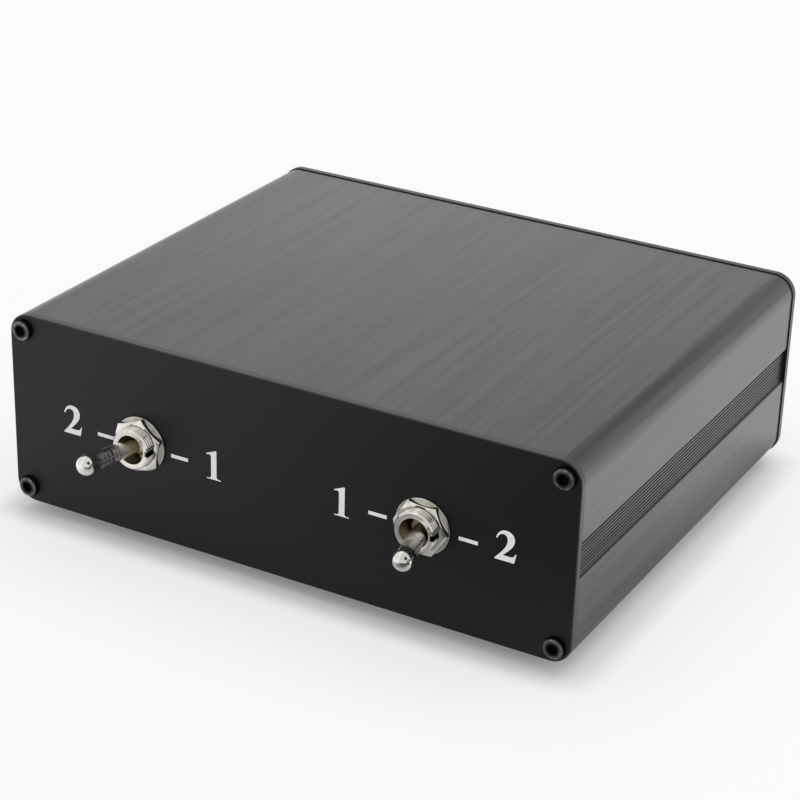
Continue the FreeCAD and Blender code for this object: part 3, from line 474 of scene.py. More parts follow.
def blackened_steel(name):
    """Black oxide steel with patches of wear, a painted highlight on each head's rim, and painted shade on
    the knurled sides and in the sockets.
    """
    finish = Finish(name)
    oxide, worn_oxide, side_shade = (0.030, 0.030, 0.031), (0.09, 0.088, 0.085), (0.02, 0.02, 0.021)
    rim_highlight, worn_rim_highlight, hollow = (0.115, 0.114, 0.114), (0.28, 0.275, 0.27), (0.004, 0.004, 0.004)
    first, last = middle("front_screw_1"), middle("front_screw_4")
    corner = Vector((max(first.x, last.x), 0, max(first.z, last.z)))
    radius = round_each(finish, corner, (first.z + last.z) / 2)
    grain = finish.grain(3000.0, detail=4.0)
    worn = finish.patches(900.0, 0.42, 0.7)
    # Painted highlight: a lighter ring on each head's rim, varied by patches of wear.
    rim = finish.between(radius, 1.8 * MM, 2.2 * MM)
    # Painted shade: the sockets are nearly black and the knurled sides darker than the face.
    socket = 1 - finish.between(radius, 1.4 * MM, 1.7 * MM)
    wall = 1 - finish.between(finish.facing_along("Y"), 0.45, 0.75)
    face = finish.blend(rim, finish.blend(worn, oxide, worn_oxide), finish.blend(worn, rim_highlight, worn_rim_highlight))
    shade = finish.blend(socket, finish.blend(wall, face, side_shade), hollow)
    rough = 0.42 + grain * 0.16 - rim * 0.08 + socket * 0.35
    return finish.done(base_color=shade, metallic=0.8, roughness=rough,
                       normal=finish.bump(grain, 0.01 * MM, 0.4))


def moulded(name, tint, roughness, grain_depth, coat=0.0):
    """Moulded plastic or rubber: faint flow marks and a fine mould grain."""
    finish = Finish(name)
    grain = finish.grain(2600.0, detail=3.0)
    drift = finish.grain(90.0)
    shade = finish.blend(drift, toned(tint, 0.85), toned(tint, 1.2))
    return finish.done(base_color=shade, roughness=roughness + (grain - 0.5) * 0.12 + (drift - 0.5) * 0.1,
                       ior=1.5, coat_weight=coat, normal=finish.bump(grain, 0.01 * MM, grain_depth))


def ink(name, settings):
    """Screen-printed white ink, a little uneven."""
    finish = Finish(name)
    grain = finish.grain(4200.0, detail=4.0)
    shade = finish.blend(finish.patches(700.0, 0.35, 0.8), settings.ink, toned(settings.ink, 0.88))
    return finish.done(base_color=shade, roughness=0.5 + grain * 0.1,
                       normal=finish.bump(grain, 0.01 * MM, 0.3))


finishes = {}


def finish_of(name, make, *values):
    """The material of a name, made when it is first asked for."""
    if name not in finishes:
        finishes[name] = make(name, *values)
    return finishes[name]


def nickel(sizes):
    """The plate of nuts and bushes."""
    return finish_of("turned nickel", turned_nickel, (0.87, 0.85, 0.80), (0.74, 0.70, 0.61), sizes.bore)


def post_plastic(tint, sizes):
    """The red or black plastic of caps and collars."""
    return finish_of(f"{tint} plastic", moulded, getattr(sizes, f"plastic_{tint}"), 0.22, 0.15, 0.4)


# ---------------------------------------------------------------- building tools

UPRIGHT = Matrix.Rotation(math.radians(90), 4, "X")    # stands up what lies along Y


def new_object(name, mesh):
    piece = bpy.data.objects.new(name, mesh)
    bpy.context.scene.collection.objects.link(piece)
    return piece


def mesh_from(shape, name):
    """Turns a bmesh into a mesh and frees it."""
    mesh = bpy.data.meshes.new(name)
    shape.to_mesh(mesh)
    shape.free()
    return mesh


def evaluated_mesh(piece):
    """A plain mesh of what a piece's curve or modifiers make."""
    return bpy.data.meshes.new_from_object(piece.evaluated_get(bpy.context.evaluated_depsgraph_get()))


def shaded(mesh, degrees=32):
    """Smooth shading that stays sharp where faces meet at more than an angle."""
    shape = bmesh.new()
    shape.from_mesh(mesh)
    limit = math.radians(degrees)
    for face in shape.faces:
        face.smooth = True
    for edge in shape.edges:
        edge.smooth = edge.calc_face_angle(0) < limit
    shape.to_mesh(mesh)
    shape.free()
    return mesh


def turned(name, profile, segments=96, closed=True):
    """A piece turned about the Y axis from (radius, depth) points. A closed profile ends where it starts."""
    shape = bmesh.new()
    turns = [2 * math.pi * step / segments for step in range(segments)]
    rings = []
    for radius, depth in profile:
        spots = turns if radius > 1e-9 else turns[:1]
        rings.append([shape.verts.new((radius * math.cos(a), depth, radius * math.sin(a))) for a in spots])
    following = rings[1:] + rings[:1] if closed else rings[1:]
    for first, second in zip(rings, following):
        for step in range(segments):
            ahead = (step + 1) % segments
            corners = [ring[spot % len(ring)] for ring, spot in (
                (first, step), (first, ahead), (second, ahead), (second, step))]
            corners = list(dict.fromkeys(corners))
            if len(corners) > 2:
                shape.faces.new(corners)
    bmesh.ops.recalc_face_normals(shape, faces=shape.faces)
    return new_object(name, mesh_from(shape, name))


def rounded(points, steps=5, closed=True):
    """A profile from (radius, depth, corner radius) points, with its corners rounded."""
    flat = [Vector(point[:2]) for point in points]
    result = []
    for index, (here, point) in enumerate(zip(flat, points)):
        corner = point[2] if len(point) > 2 else 0
        ends = not closed and index in (0, len(points) - 1)
        if corner == 0 or ends:
            result.append(tuple(here))
            continue
        back = (flat[index - 1] - here).normalized()
        ahead = (flat[(index + 1) % len(flat)] - here).normalized()
        half = back.angle(ahead) / 2
        centre = here + (back + ahead).normalized() * (corner / math.sin(half))
        start, end = [here + way * (corner / math.tan(half)) - centre for way in (back, ahead)]
        for step in range(steps + 1):
            result.append(tuple(centre + start.lerp(end, step / steps).normalized() * corner))
    return result


def arc(middle_depth, radius, start, end, steps):
    """Points of a circle about a middle on the axis; 0 degrees points to the front, 90 outwards."""
    turns = [math.radians(start + (end - start) * step / steps) for step in range(steps + 1)]
    return [(radius * math.sin(turn), middle_depth - radius * math.cos(turn)) for turn in turns]


def rows(radius, start, end, step):
    """Evenly spaced points along a straight wall of a profile."""
    number = max(1, round(abs(end - start) / step))
    return [(radius, start + (end - start) * index / number) for index in range(number + 1)]


def settle(piece):
    """Turns a piece and its modifiers into a plain mesh with no modifiers."""
    mesh = evaluated_mesh(piece)
    mesh.name = piece.name
    piece.modifiers.clear()
    piece.data = shaded(mesh)
    return piece


def discard(*pieces):
    for piece in pieces:
        bpy.data.objects.remove(piece)


def carve(piece, *tools):
    """Cuts tools out of a piece and removes the tools."""
    for tool in tools:
        cut = piece.modifiers.new("cut", "BOOLEAN")
        cut.operation = "DIFFERENCE"
        cut.solver = "EXACT"
        cut.object = tool
    settle(piece)
    discard(*tools)
    return piece


def bar(name, low, high):
    """A block between two corners, used as a cutting tool."""
    shape = bmesh.new()
    bmesh.ops.create_cube(shape, size=1)
    reach = Vector(high) - Vector(low)
    for point in shape.verts:
        point.co = Vector(low) + Vector([(point.co[axis] + 0.5) * reach[axis] for axis in range(3)])
    return new_object(name, mesh_from(shape, name))


def prism(name, width, low, high):
    """A hexagonal bar along Y, given its width across flats."""
    radius = width / math.sqrt(3)
    return turned(name, [(0, low), (radius, low), (radius, high), (0, high)], 6, closed=False)


def joined(name, *pieces):
    """Several objects as one, with the name given."""
    shape = bmesh.new()
    for piece in pieces:
        shape.from_mesh(piece.data)
    mesh = mesh_from(shape, name)
    discard(*pieces)
    return new_object(name, shaded(mesh))


def copied(pattern, name, shift, turn=None):
    """A copy of a pattern whose place is in its mesh."""
    mesh = pattern.data.copy()
    mesh.transform(Matrix.Translation(shift) @ (turn or Matrix.Identity(4)))
    return new_object(name, mesh)


def finished(piece, material, body, slot, *nodes):
    """Gives a piece its material and its body, and hides the CAD nodes that it stands for. The slot is not
    used.
    """
    piece.data.materials.clear()
    piece.data.materials.append(material)
    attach(piece, body)
    if nodes:
        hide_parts(*nodes)
    return piece


def dress(node, material):
    """Gives a CAD node its finish."""
    slots = frame["nodes"][node].data.materials
    slots.clear()
    slots.append(material)


# ---------------------------------------------------------------- geometry node trees

def new_tree(name, inputs):
    """An empty geometry tree with a Geometry input and named inputs of given socket types."""
    tree = bpy.data.node_groups.new(name, "GeometryNodeTree")
    tree.interface.new_socket("Geometry", in_out="INPUT", socket_type="NodeSocketGeometry")
    for label, kind in inputs.items():
        tree.interface.new_socket(label, in_out="INPUT", socket_type=kind)
    tree.interface.new_socket("Geometry", in_out="OUTPUT", socket_type="NodeSocketGeometry")
    graph = Graph(tree)
    entry = graph.node("NodeGroupInput", {}, {})
    return graph, {socket.name: Flow(graph, socket) for socket in entry.outputs if socket.name}


def close_tree(graph, geometry, material):
    """Ends a tree in Realize Instances and Set Material."""
    real = graph.flow(0, "GeometryNodeRealizeInstances", {}, {0: geometry})
    ended = graph.flow(0, "GeometryNodeSetMaterial", {}, {0: real, "Material": material})
    graph.node("NodeGroupOutput", {}, {0: ended})
    return graph.tree


def wave_tree(name, inputs, wave_of):
    """A tree that pushes the points of a turned piece in by a wave between two depths."""
    graph, given = new_tree(name, {"Depth": "NodeSocketFloat", "From": "NodeSocketFloat",
                                   "To": "NodeSocketFloat", "Least Radius": "NodeSocketFloat",
                                   "Material": "NodeSocketMaterial", **inputs})
    spot = graph.flow(0, "GeometryNodeInputPosition")
    x, y, z = graph.parts(spot)
    radius = graph.math("SQRT", x * x + z * z)
    turn = graph.math("ARCTAN2", z, x)
    inside = graph.math("GREATER_THAN", y, given["From"]) * graph.math("LESS_THAN", y, given["To"])
    outer = graph.math("GREATER_THAN", radius, given["Least Radius"])
    push = wave_of(graph, given, turn, y) * given["Depth"] * inside * outer / radius
    offset = graph.flow(0, "ShaderNodeCombineXYZ", {}, {"X": x * push * -1, "Z": z * push * -1})
    moved = graph.flow(0, "GeometryNodeSetPosition", {}, {"Geometry": given["Geometry"], "Offset": offset})
    return close_tree(graph, moved, given["Material"])


def flute_wave(graph, given, turn, depth):
    """Round flutes, so many about the axis."""
    return 0.5 - graph.math("COSINE", turn * given["Count"]) * 0.5


def thread_wave(graph, given, turn, depth):
    """A V thread that climbs one pitch in each turn."""
    climb = graph.math("FRACT", depth / given["Pitch"] + turn / (2 * math.pi) + 4)
    return graph.math("ABSOLUTE", climb * 2 - 1)


def fluting_tree():
    return wave_tree("fluting", {"Count": "NodeSocketFloat"}, flute_wave)


def thread_tree():
    return wave_tree("thread", {"Pitch": "NodeSocketFloat"}, thread_wave)


def spread_tree():
    """A tree that sets a pattern on each point of its mesh, turned as one."""
    graph, given = new_tree("spread", {"Pattern": "NodeSocketObject", "Turn": "NodeSocketVector",
                                       "Material": "NodeSocketMaterial"})
    pattern = graph.flow("Geometry", "GeometryNodeObjectInfo", {}, {"Object": given["Pattern"]})
    set_out = graph.flow(0, "GeometryNodeInstanceOnPoints", {}, {
        "Points": given["Geometry"], "Instance": pattern, "Rotation": given["Turn"]})
    return close_tree(graph, set_out, given["Material"])


trees = {}


def grown(piece, make_tree, **values):
    """Runs a geometry tree on a piece, with its inputs by name, and keeps the result as a plain mesh."""
    if make_tree not in trees:
        trees[make_tree] = make_tree()
    tree = trees[make_tree]
    modifier = piece.modifiers.new(tree.name, "NODES")
    modifier.node_group = tree
    sockets = {item.name: item.identifier for item in tree.interface.items_tree if item.in_out == "INPUT"}
    for name, value in values.items():
        modifier[sockets[name.replace("_", " ").title()]] = value
    return settle(piece)


def spread(name, pattern, spots, material, turn=(0, 0, 0)):
    """Copies of a pattern on a list of places, as one object."""
    mesh = bpy.data.meshes.new(name)
    mesh.from_pydata([tuple(spot) for spot in spots], [], [])
    return grown(new_object(name, mesh), spread_tree, pattern=pattern, turn=turn, material=material)


# ---------------------------------------------------------------- case

class SELECTOR_OT_case(bpy.types.Operator):
    """Finishes both extrusions and both plates"""
    bl_idname = "selector.case"
    bl_label = "Case"

    def execute(self, context):
        settings = context.scene.case_finish
        for node in ("top_shell", "bottom_shell"):
            dress(node, finish_of("anodised shell", brushed_shell, settings))
        for node in ("front_plate", "rear_plate"):
            dress(node, finish_of("anodised plate", satin_plate, settings))
        return {"FINISHED"}


class SELECTOR_OT_feet(bpy.types.Operator):
    """Makes the four rubber feet with their rounded rims and hollow undersides"""
    bl_idname = "selector.feet"
    bl_label = "Feet"

    def execute(self, context):
        nodes = four_of("foot")
        low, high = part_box(nodes[0])
        top, height = (high.x - low.x) / 2, high.z - low.z
        base = top - 0.8 * MM
        hollow = height * 0.55
        profile = rounded([(0, 0), (top, 0, 0.3 * MM), (base, -height, 0.8 * MM),
                           (base * 0.55, -height, 0.4 * MM), (base * 0.45, -hollow, 0.4 * MM),
                           (0, -hollow)], closed=False)
        pattern = turned("foot pattern", profile, 64, closed=False)
        pattern.data.transform(UPRIGHT)
        rubber = finish_of("foot rubber", moulded, context.scene.case_finish.rubber_colour, 0.72, 0.8)
        spots = [(middle(node).x, middle(node).y, high.z) for node in nodes]
        piece = spread("rubber_feet", pattern, spots, rubber)
        discard(pattern)
        finished(piece, rubber, "case", "foot_rubber", *nodes)
        return {"FINISHED"}


class SELECTOR_OT_screws(bpy.types.Operator):
    """Makes the knurled socket screws of both plates"""
    bl_idname = "selector.screws"
    bl_label = "Plate screws"

    def execute(self, context):
        sizes = context.scene.screw_sizes
        radius, height, shank = sizes.head / 2, sizes.head_height, sizes.shank / 2
        edge = 0.5 * MM
        profile = [(0, -height), *rounded([(0, -height), (radius, -height, edge), (radius, 0)])[1:-1]]
        profile += rows(radius, -height + edge + 0.06 * MM, -0.12 * MM, 0.25 * MM)
        profile += [(radius - 0.1 * MM, 0), (shank, 0), (shank, sizes.length), (0, sizes.length)]
        pattern = turned("screw pattern", profile, sizes.ridges * 8, closed=False)
        steel = finish_of("blackened steel", blackened_steel)
        grown(pattern, fluting_tree, count=float(sizes.ridges), depth=sizes.ridge_depth, material=steel,
              least_radius=radius - 0.02 * MM, **{"from": -height + edge, "to": -0.08 * MM})
        carve(pattern, prism("socket", sizes.socket, -height - MM, -height + sizes.socket_depth))
        nodes = four_of("front_screw")
        fours = []
        for side, depth, turn in (("front", plate_front + sizes.sunk, 0),
                                  ("rear", rear_face - sizes.sunk, math.pi)):
            spots = [axis_of(node) + Vector((0, depth, 0)) for node in nodes]
            fours.append(spread(f"{side} screws", pattern, spots, steel, (0, 0, turn)))
        discard(pattern)
        piece = joined("plate_screws", *fours)
        finished(piece, steel, "case", "screw_black", *nodes, "rear_screws")
        return {"FINISHED"}


# ---------------------------------------------------------------- print

# Outlines of the figures, one unit tall: corners, and curves as two handles and an end.
FIGURES = {
    "1": [(0.06, 0.86), (0.38, 1.0), (0.43, 1.0), (0.43, 0.13),
          ((0.43, 0.05), (0.46, 0.03), (0.59, 0.03)), (0.59, 0.0), (0.07, 0.0), (0.07, 0.03),
          ((0.20, 0.03), (0.23, 0.05), (0.23, 0.13)), (0.23, 0.74),
          ((0.23, 0.84), (0.20, 0.86), (0.06, 0.825))],
    "2": [(0.03, 0.70), ((0.08, 0.90), (0.20, 1.0), (0.35, 1.0)), ((0.52, 1.0), (0.64, 0.89), (0.64, 0.73)),
          ((0.64, 0.57), (0.54, 0.44), (0.27, 0.18)), (0.50, 0.18),
          ((0.60, 0.18), (0.64, 0.21), (0.68, 0.31)), (0.71, 0.31), (0.65, 0.0), (0.01, 0.0), (0.01, 0.035),
          ((0.29, 0.34), (0.41, 0.51), (0.41, 0.69)), ((0.41, 0.80), (0.35, 0.87), (0.26, 0.87)),
          ((0.18, 0.87), (0.11, 0.81), (0.07, 0.69))],
}
FIGURE_MIDDLE = 0.34    # from a figure's left to its middle
INK_THICKNESS = 0.03 * MM


def ends(step):
    """The end point of an outline's step."""
    return step[-1] if isinstance(step[0], tuple) else step


def flat_shape(name, outline, scale, across, level):
    """A thin printed shape on the front plate from an outline of lines and curves."""
    curve = bpy.data.curves.new(name, "CURVE")
    curve.dimensions = "2D"
    curve.fill_mode = "BOTH"
    curve.extrude = INK_THICKNESS / 2
    curve.resolution_u = 12
    spline = curve.splines.new("BEZIER")
    spline.bezier_points.add(len(outline) - 1)
    spline.use_cyclic_u = True
    for index, step in enumerate(outline):
        point = spline.bezier_points[index]
        here, before = Vector(ends(step)), Vector(ends(outline[index - 1]))
        after = outline[(index + 1) % len(outline)]
        bent, bends_on = isinstance(step[0], tuple), isinstance(after[0], tuple)
        left = Vector(step[1]) if bent else here.lerp(before, 1 / 3)
        right = Vector(after[0]) if bends_on else here.lerp(Vector(ends(after)), 1 / 3)
        point.handle_left_type = point.handle_right_type = "FREE"
        point.co, point.handle_left, point.handle_right = [(*(at * scale), 0) for at in (here, left, right)]
    shape = new_object(name, curve)
    mesh = evaluated_mesh(shape)
    discard(shape)
    mesh.transform(Matrix.Translation((across, plate_front, level)) @ UPRIGHT)
    return new_object(name, mesh)


class SELECTOR_OT_print(bpy.types.Operator):
    """Prints the figures 1 and 2 and the dashes beside each switch"""
    bl_idname = "selector.print"
    bl_label = "Printed figures"

    def execute(self, context):
        sizes = context.scene.print_sizes
        tall = sizes.figure_height
        long, wide = sizes.dash_length / 2, sizes.dash_width / 2
        dash = [(-long, -wide), (long, -wide), (long, wide), (-long, wide)]
        marks = [flat_shape("figure", FIGURES[figure], tall, across - tall * FIGURE_MIDDLE, level)
                 for figure, across, level in zip("2112", sizes.figures, sizes.figure_levels)]
        marks += [flat_shape("dash", dash, 1.0, across, level)
                  for across, level in zip(sizes.dashes, sizes.dash_levels)]
        piece = joined("printed_marks", *marks)
        finished(piece, finish_of("white ink", ink, sizes), "case", "plate_anodised")
        return {"FINISHED"}


# ---------------------------------------------------------------- toggle switches

def corner_turn(node, centre):
    """The angle about Y of the hexagon corner of a CAD node that lies furthest from an axis."""
    points = frame["nodes"][node].data.vertices
    far = max(points, key=lambda point: math.hypot(point.co.x - centre.x, point.co.z - centre.z)).co
    return math.atan2(far.z - centre.z, far.x - centre.x)


def hexagon_nut(name, width, bore, front, back, bevel, turn):
    """A hexagon nut along Y with a conical bevel on its front and a chamfered bore."""
    shape = bmesh.new()
    per_side = 16
    chamfer, rim = 0.12 * MM, 0.05 * MM
    inner = bore / 2
    face = width / 2 * 0.985    # the flat face ends a little inside the flats
    spots = 6 * per_side
    rings = []
    for step in range(spots):
        about = 2 * math.pi * step / spots
        aside = (about % (math.pi / 3)) - math.pi / 6
        reach = width / 2 / math.cos(aside)
        slope = (reach - face) * math.tan(bevel)
        column = [(inner, back - chamfer), (inner, front + chamfer), (inner + chamfer, front), (face, front),
                  (reach - 0.06 * MM, front + slope - 0.02 * MM), (reach, front + slope + 0.04 * MM),
                  (reach, back - rim), (reach - rim, back), (inner + chamfer, back)]
        rings.append([shape.verts.new((r * math.cos(about + turn), y, r * math.sin(about + turn)))
                      for r, y in column])
    for first, second in zip(rings, rings[1:] + rings[:1]):
        for index in range(len(first)):
            ahead = (index + 1) % len(first)
            shape.faces.new((first[index], first[ahead], second[ahead], second[index]))
    bmesh.ops.recalc_face_normals(shape, faces=shape.faces)
    return new_object(name, shaded(mesh_from(shape, name), degrees=25))


class SELECTOR_OT_nuts(bpy.types.Operator):
    """Makes the bevelled nuts before and behind the front plate"""
    bl_idname = "selector.nuts"
    bl_label = "Nuts"

    def execute(self, context):
        sizes = context.scene.toggle_sizes
        for switch in SWITCHES:
            node, place = f"{switch}_nuts", switch_places[switch]
            low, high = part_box(node)
            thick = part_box(f"{switch}_washer")[0].y - low.y
            turn = corner_turn(node, place)
            bore = bush_radius(switch) * 2 + 0.02 * MM
            pieces = [hexagon_nut("nut", sizes.nut_width, bore, front, front + thick, sizes.nut_bevel, turn)
                      for front in (low.y, high.y - thick)]
            piece = joined(f"{switch}_bevelled_nuts", *pieces)
            piece.data.transform(Matrix.Translation(place))
            finished(piece, nickel(sizes), "case", "nickel", node)
        return {"FINISHED"}


class SELECTOR_OT_washers(bpy.types.Operator):
    """Makes the round washers under the front nuts"""
    bl_idname = "selector.washers"
    bl_label = "Washers"

    def execute(self, context):
        dull = finish_of("dull nickel", turned_nickel, (0.56, 0.555, 0.52), (0.42, 0.415, 0.37),
                         context.scene.toggle_sizes.bore)
        inner_edge, outer_edge = 0.1 * MM, 0.22 * MM
        for switch in SWITCHES:
            node = f"{switch}_washer"
            low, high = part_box(node)
            inner, outer = bush_radius(switch) + 0.1 * MM, (high.x - low.x) / 2
            profile = rounded([(inner, low.y, inner_edge), (outer, low.y, outer_edge),
                               (outer, high.y, outer_edge), (inner, high.y, inner_edge)])
            piece = turned(f"{switch}_round_washer", profile, 128)
            piece.data.transform(Matrix.Translation(switch_places[switch]))
            shaded(piece.data)
            finished(piece, dull, "case", "nickel", node)
        return {"FINISHED"}


class SELECTOR_OT_bushes(bpy.types.Operator):
    """Makes the threaded bushes with their keyways"""
    bl_idname = "selector.bushes"
    bl_label = "Threaded bushes"

    def execute(self, context):
        sizes = context.scene.toggle_sizes
        plate = nickel(sizes)
        front, back = [corner.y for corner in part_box("speaker_bush")]
        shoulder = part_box("speaker_strap")[0].y
        radius, bore, chamfer = bush_radius("speaker"), sizes.bore / 2, 0.4 * MM
        spigot = radius - 0.9 * MM
        outer = rows(radius, shoulder, front + chamfer, sizes.thread_pitch / 8)
        profile = [(spigot, back), (spigot, shoulder), *outer, (radius - chamfer, front),
                   (bore + 0.3 * MM, front), (bore + 0.08 * MM, front + 0.1 * MM), (bore, front + 0.35 * MM),
                   (bore, back)]
        pattern = turned("bush pattern", profile, 128)
        grown(pattern, thread_tree, pitch=sizes.thread_pitch, depth=sizes.thread_depth, material=plate,
              least_radius=radius - 0.01 * MM, **{"from": front + chamfer, "to": shoulder})
        key_floor = radius - sizes.key_depth
        carve(pattern, bar("key", (key_floor, front - MM, -sizes.key_width / 2),
                           (radius + MM, shoulder + 0.1 * MM, sizes.key_width / 2)))
        for switch in SWITCHES:
            piece = copied(pattern, f"{switch}_threaded_bush", switch_places[switch])
            finished(piece, plate, "case", "nickel", f"{switch}_bush")
        discard(pattern)
        return {"FINISHED"}


class SELECTOR_OT_levers(bpy.types.Operator):
    """Makes the round-tipped levers about their pivots"""
    bl_idname = "selector.levers"
    bl_label = "Levers"

    def execute(self, context):
        sizes = context.scene.toggle_sizes
        ball, tip = sizes.ball / 2, sizes.tip / 2
        neck = math.degrees(math.asin(sizes.root / sizes.ball))
        heel = 180 - math.degrees(math.asin(sizes.tail / sizes.ball))
        crown = 180 - math.degrees(math.asin(sizes.shaft / sizes.tip))
        profile = arc(-sizes.reach, tip, 0, crown, steps=28)
        profile += arc(0, ball, neck, heel, steps=28)
        profile += rounded([(sizes.tail / 2, 0), (sizes.tail / 2, sizes.tail_reach, 0.4 * MM),
                            (0, sizes.tail_reach)], closed=False)[1:]
        pattern = turned("lever pattern", profile, 96, closed=False)
        shaded(pattern.data, degrees=40)
        chrome = finish_of("bright lever", bright_lever, sizes)
        for switch in SWITCHES:
            lean = math.radians(max(lever_joint(switch)["range_deg"], key=abs)) / -2
            piece = copied(pattern, f"{switch}_round_lever", pivot(switch), Matrix.Rotation(lean, 4, "Z"))
            finished(piece, chrome, f"{switch}_lever_body", "nickel", f"{switch}_lever")
        discard(pattern)
        return {"FINISHED"}


class SELECTOR_OT_switch_insides(bpy.types.Operator):
    """Finishes what each switch has behind the front plate"""
    bl_idname = "selector.switch_insides"
    bl_label = "Switch insides"

    def execute(self, context):
        zinc = finish_of("zinc plate", plated, (0.55, 0.56, 0.58), 0.32, 0.3)
        silver = finish_of("silvered brass", plated, (0.84, 0.80, 0.70), 0.24, 0.2)
        phenolic = finish_of("moulded phenolic", moulded, (0.060, 0.030, 0.018), 0.45, 0.5)
        nylon = finish_of("nylon", moulded, (0.72, 0.69, 0.60), 0.42, 0.3)
        for switch in SWITCHES:
            for part, material in (("pivot_pin", zinc), ("strap", zinc), ("housing", phenolic),
                                   ("yoke", nylon), ("rockers", silver), ("terminals", silver)):
                dress(f"{switch}_{part}", material)
        return {"FINISHED"}


# ---------------------------------------------------------------- binding posts

class SELECTOR_OT_caps(bpy.types.Operator):
    """Makes the fluted caps, each on its own body"""
    bl_idname = "selector.caps"
    bl_label = "Post caps"

    def execute(self, context):
        sizes = context.scene.post_sizes
        low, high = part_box(cap_nodes[0])
        length, radius = high.y - low.y, (high.x - low.x) / 2
        neck, bore, bevel = sizes.neck / 2, sizes.cap_bore / 2, sizes.bevel
        start, end = sizes.neck_length + bevel / 2, length - bevel
        profile = [(bore, 0), (neck - 0.3 * MM, 0), (neck, 0.3 * MM), (neck, sizes.neck_length)]
        profile += rows(radius, start, end, 0.5 * MM)
        profile += [(radius - bevel * 0.45, end + bevel * 0.62), (radius - bevel, length - 0.1 * MM),
                    (radius - bevel - 0.3 * MM, length), (bore + 0.9 * MM, length),
                    (bore + 0.3 * MM, length - 0.5 * MM), (bore, length - 0.9 * MM)]
        pattern = turned("cap pattern", profile, sizes.flutes * 10)
        grown(pattern, fluting_tree, count=float(sizes.flutes), depth=sizes.flute_depth,
              material=post_plastic("black", sizes), least_radius=radius - 0.01 * MM,
              **{"from": start + 0.3 * MM, "to": end - 0.3 * MM})
        for node in cap_nodes:
            tint = next(tint for sign, tint in SIGNS.items() if sign in node)
            piece = copied(pattern, node.replace("_cap", "_fluted_cap"),
                           axis_of(node) + Vector((0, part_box(node)[0].y, 0)))
            finished(piece, post_plastic(tint, sizes), f"{node}_body", f"cap_{tint}", node)
        discard(pattern)
        return {"FINISHED"}


class SELECTOR_OT_studs(bpy.types.Operator):
    """Makes the threaded studs with their plug sockets and cross holes"""
    bl_idname = "selector.studs"
    bl_label = "Studs"

    def execute(self, context):
        sizes = context.scene.post_sizes
        front, back = [corner.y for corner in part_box(stud_nodes[0])]
        radius, socket, drilled = sizes.stud / 2, sizes.socket / 2, sizes.cross_hole / 2
        chamfer = 0.35 * MM
        floor = back - sizes.socket_depth
        gold = finish_of("gold plate", plated, (0.90, 0.66, 0.30), 0.14, 0.12)
        profile = [(0, front), (radius - chamfer, front)]
        profile += rows(radius, front + chamfer, back - chamfer, sizes.thread_pitch / 6)
        profile += [(radius - chamfer, back), (socket + chamfer, back), (socket, back - chamfer),
                    (socket, floor), (0, floor + 0.6 * MM)]
        pattern = turned("stud pattern", profile, 72, closed=False)
        grown(pattern, thread_tree, pitch=sizes.thread_pitch, depth=sizes.thread_depth, material=gold,
              least_radius=radius - 0.01 * MM, **{"from": front + chamfer, "to": back - chamfer})
        reach = radius + MM
        outline = [(0, -reach), (drilled, -reach), (drilled, reach), (0, reach)]
        drill = turned("drill", outline, 32, closed=False)
        drill.data.transform(Matrix.Translation((0, collar_back + sizes.cross_hole_offset, 0)) @ UPRIGHT)
        carve(pattern, drill)
        for node in stud_nodes:
            group = node.replace("_studs", "")
            spots = [axis_of(cap) for cap in cap_nodes if cap.startswith(group)]
            piece = spread(f"{group}_threaded_studs", pattern, spots, gold)
            finished(piece, gold, "case", "post_brass", node)
        discard(pattern)
        return {"FINISHED"}


class SELECTOR_OT_collars(bpy.types.Operator):
    """Makes the insulating collars outside and inside the rear plate"""
    bl_idname = "selector.collars"
    bl_label = "Collars"

    def execute(self, context):
        sizes = context.scene.post_sizes
        plate_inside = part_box("rear_plate")[0].y
        tag_back = plate_inside - sizes.inner_height
        bore, shoulder = sizes.stud / 2 + 0.05 * MM, sizes.shoulder / 2
        outer, inner = sizes.collar / 2, sizes.inner_collar / 2
        sunk, raised = rear_face - sizes.shoulder_height, plate_inside + sizes.shoulder_height
        outside = rounded([(bore, sunk), (shoulder, sunk), (shoulder, rear_face),
                           (outer, rear_face, 0.2 * MM), (outer, collar_back, 0.7 * MM), (bore, collar_back)])
        inside = rounded([(bore, tag_back), (inner, tag_back, 0.3 * MM), (inner, plate_inside, 0.2 * MM),
                          (shoulder, plate_inside), (shoulder, raised), (bore, raised)])
        pattern = joined("collar pattern", turned("outside", outside, 72), turned("inside", inside, 72))
        for sign, tint in SIGNS.items():
            material = post_plastic(tint, sizes)
            spots = [axis_of(cap) for cap in cap_nodes if sign in cap]
            piece = spread(f"{tint}_collars", pattern, spots, material)
            finished(piece, material, "case", f"collar_{tint}", f"{tint}_insulators")
        discard(pattern)
        return {"FINISHED"}


class SELECTOR_OT_wiring(bpy.types.Operator):
    """Finishes the post nuts, solder tags and wires"""
    bl_idname = "selector.wiring"
    bl_label = "Wiring"

    def execute(self, context):
        for node in ("post_nuts", "solder_tags"):
            dress(node, finish_of("tinned brass", plated, (0.72, 0.70, 0.66), 0.3, 0.3))
        for tint, rgb in (("red", (0.45, 0.02, 0.02)), ("black", (0.02, 0.02, 0.02))):
            dress(f"{tint}_wires", finish_of(f"{tint} insulation", moulded, rgb, 0.5, 0.3))
        return {"FINISHED"}


# ---------------------------------------------------------------- stage

FLOOR_REACH = 4.0
WHITE = (1, 1, 1, 1)
FLOOR_GLOW = 0.96    # the floor's white to the camera
FILL = 0.70    # how strongly the surround lights matt surfaces
DARK_WAY = Vector((0.66, -0.32, 0.68)).normalized()    # towards the dark patch of the surround


def rays(graph, *kinds):
    """1 for rays of a kind and 0 for others, kind by kind."""
    path = graph.node("ShaderNodeLightPath", {}, {})
    return [Flow(graph, path.outputs[f"Is {kind} Ray"]) for kind in kinds]


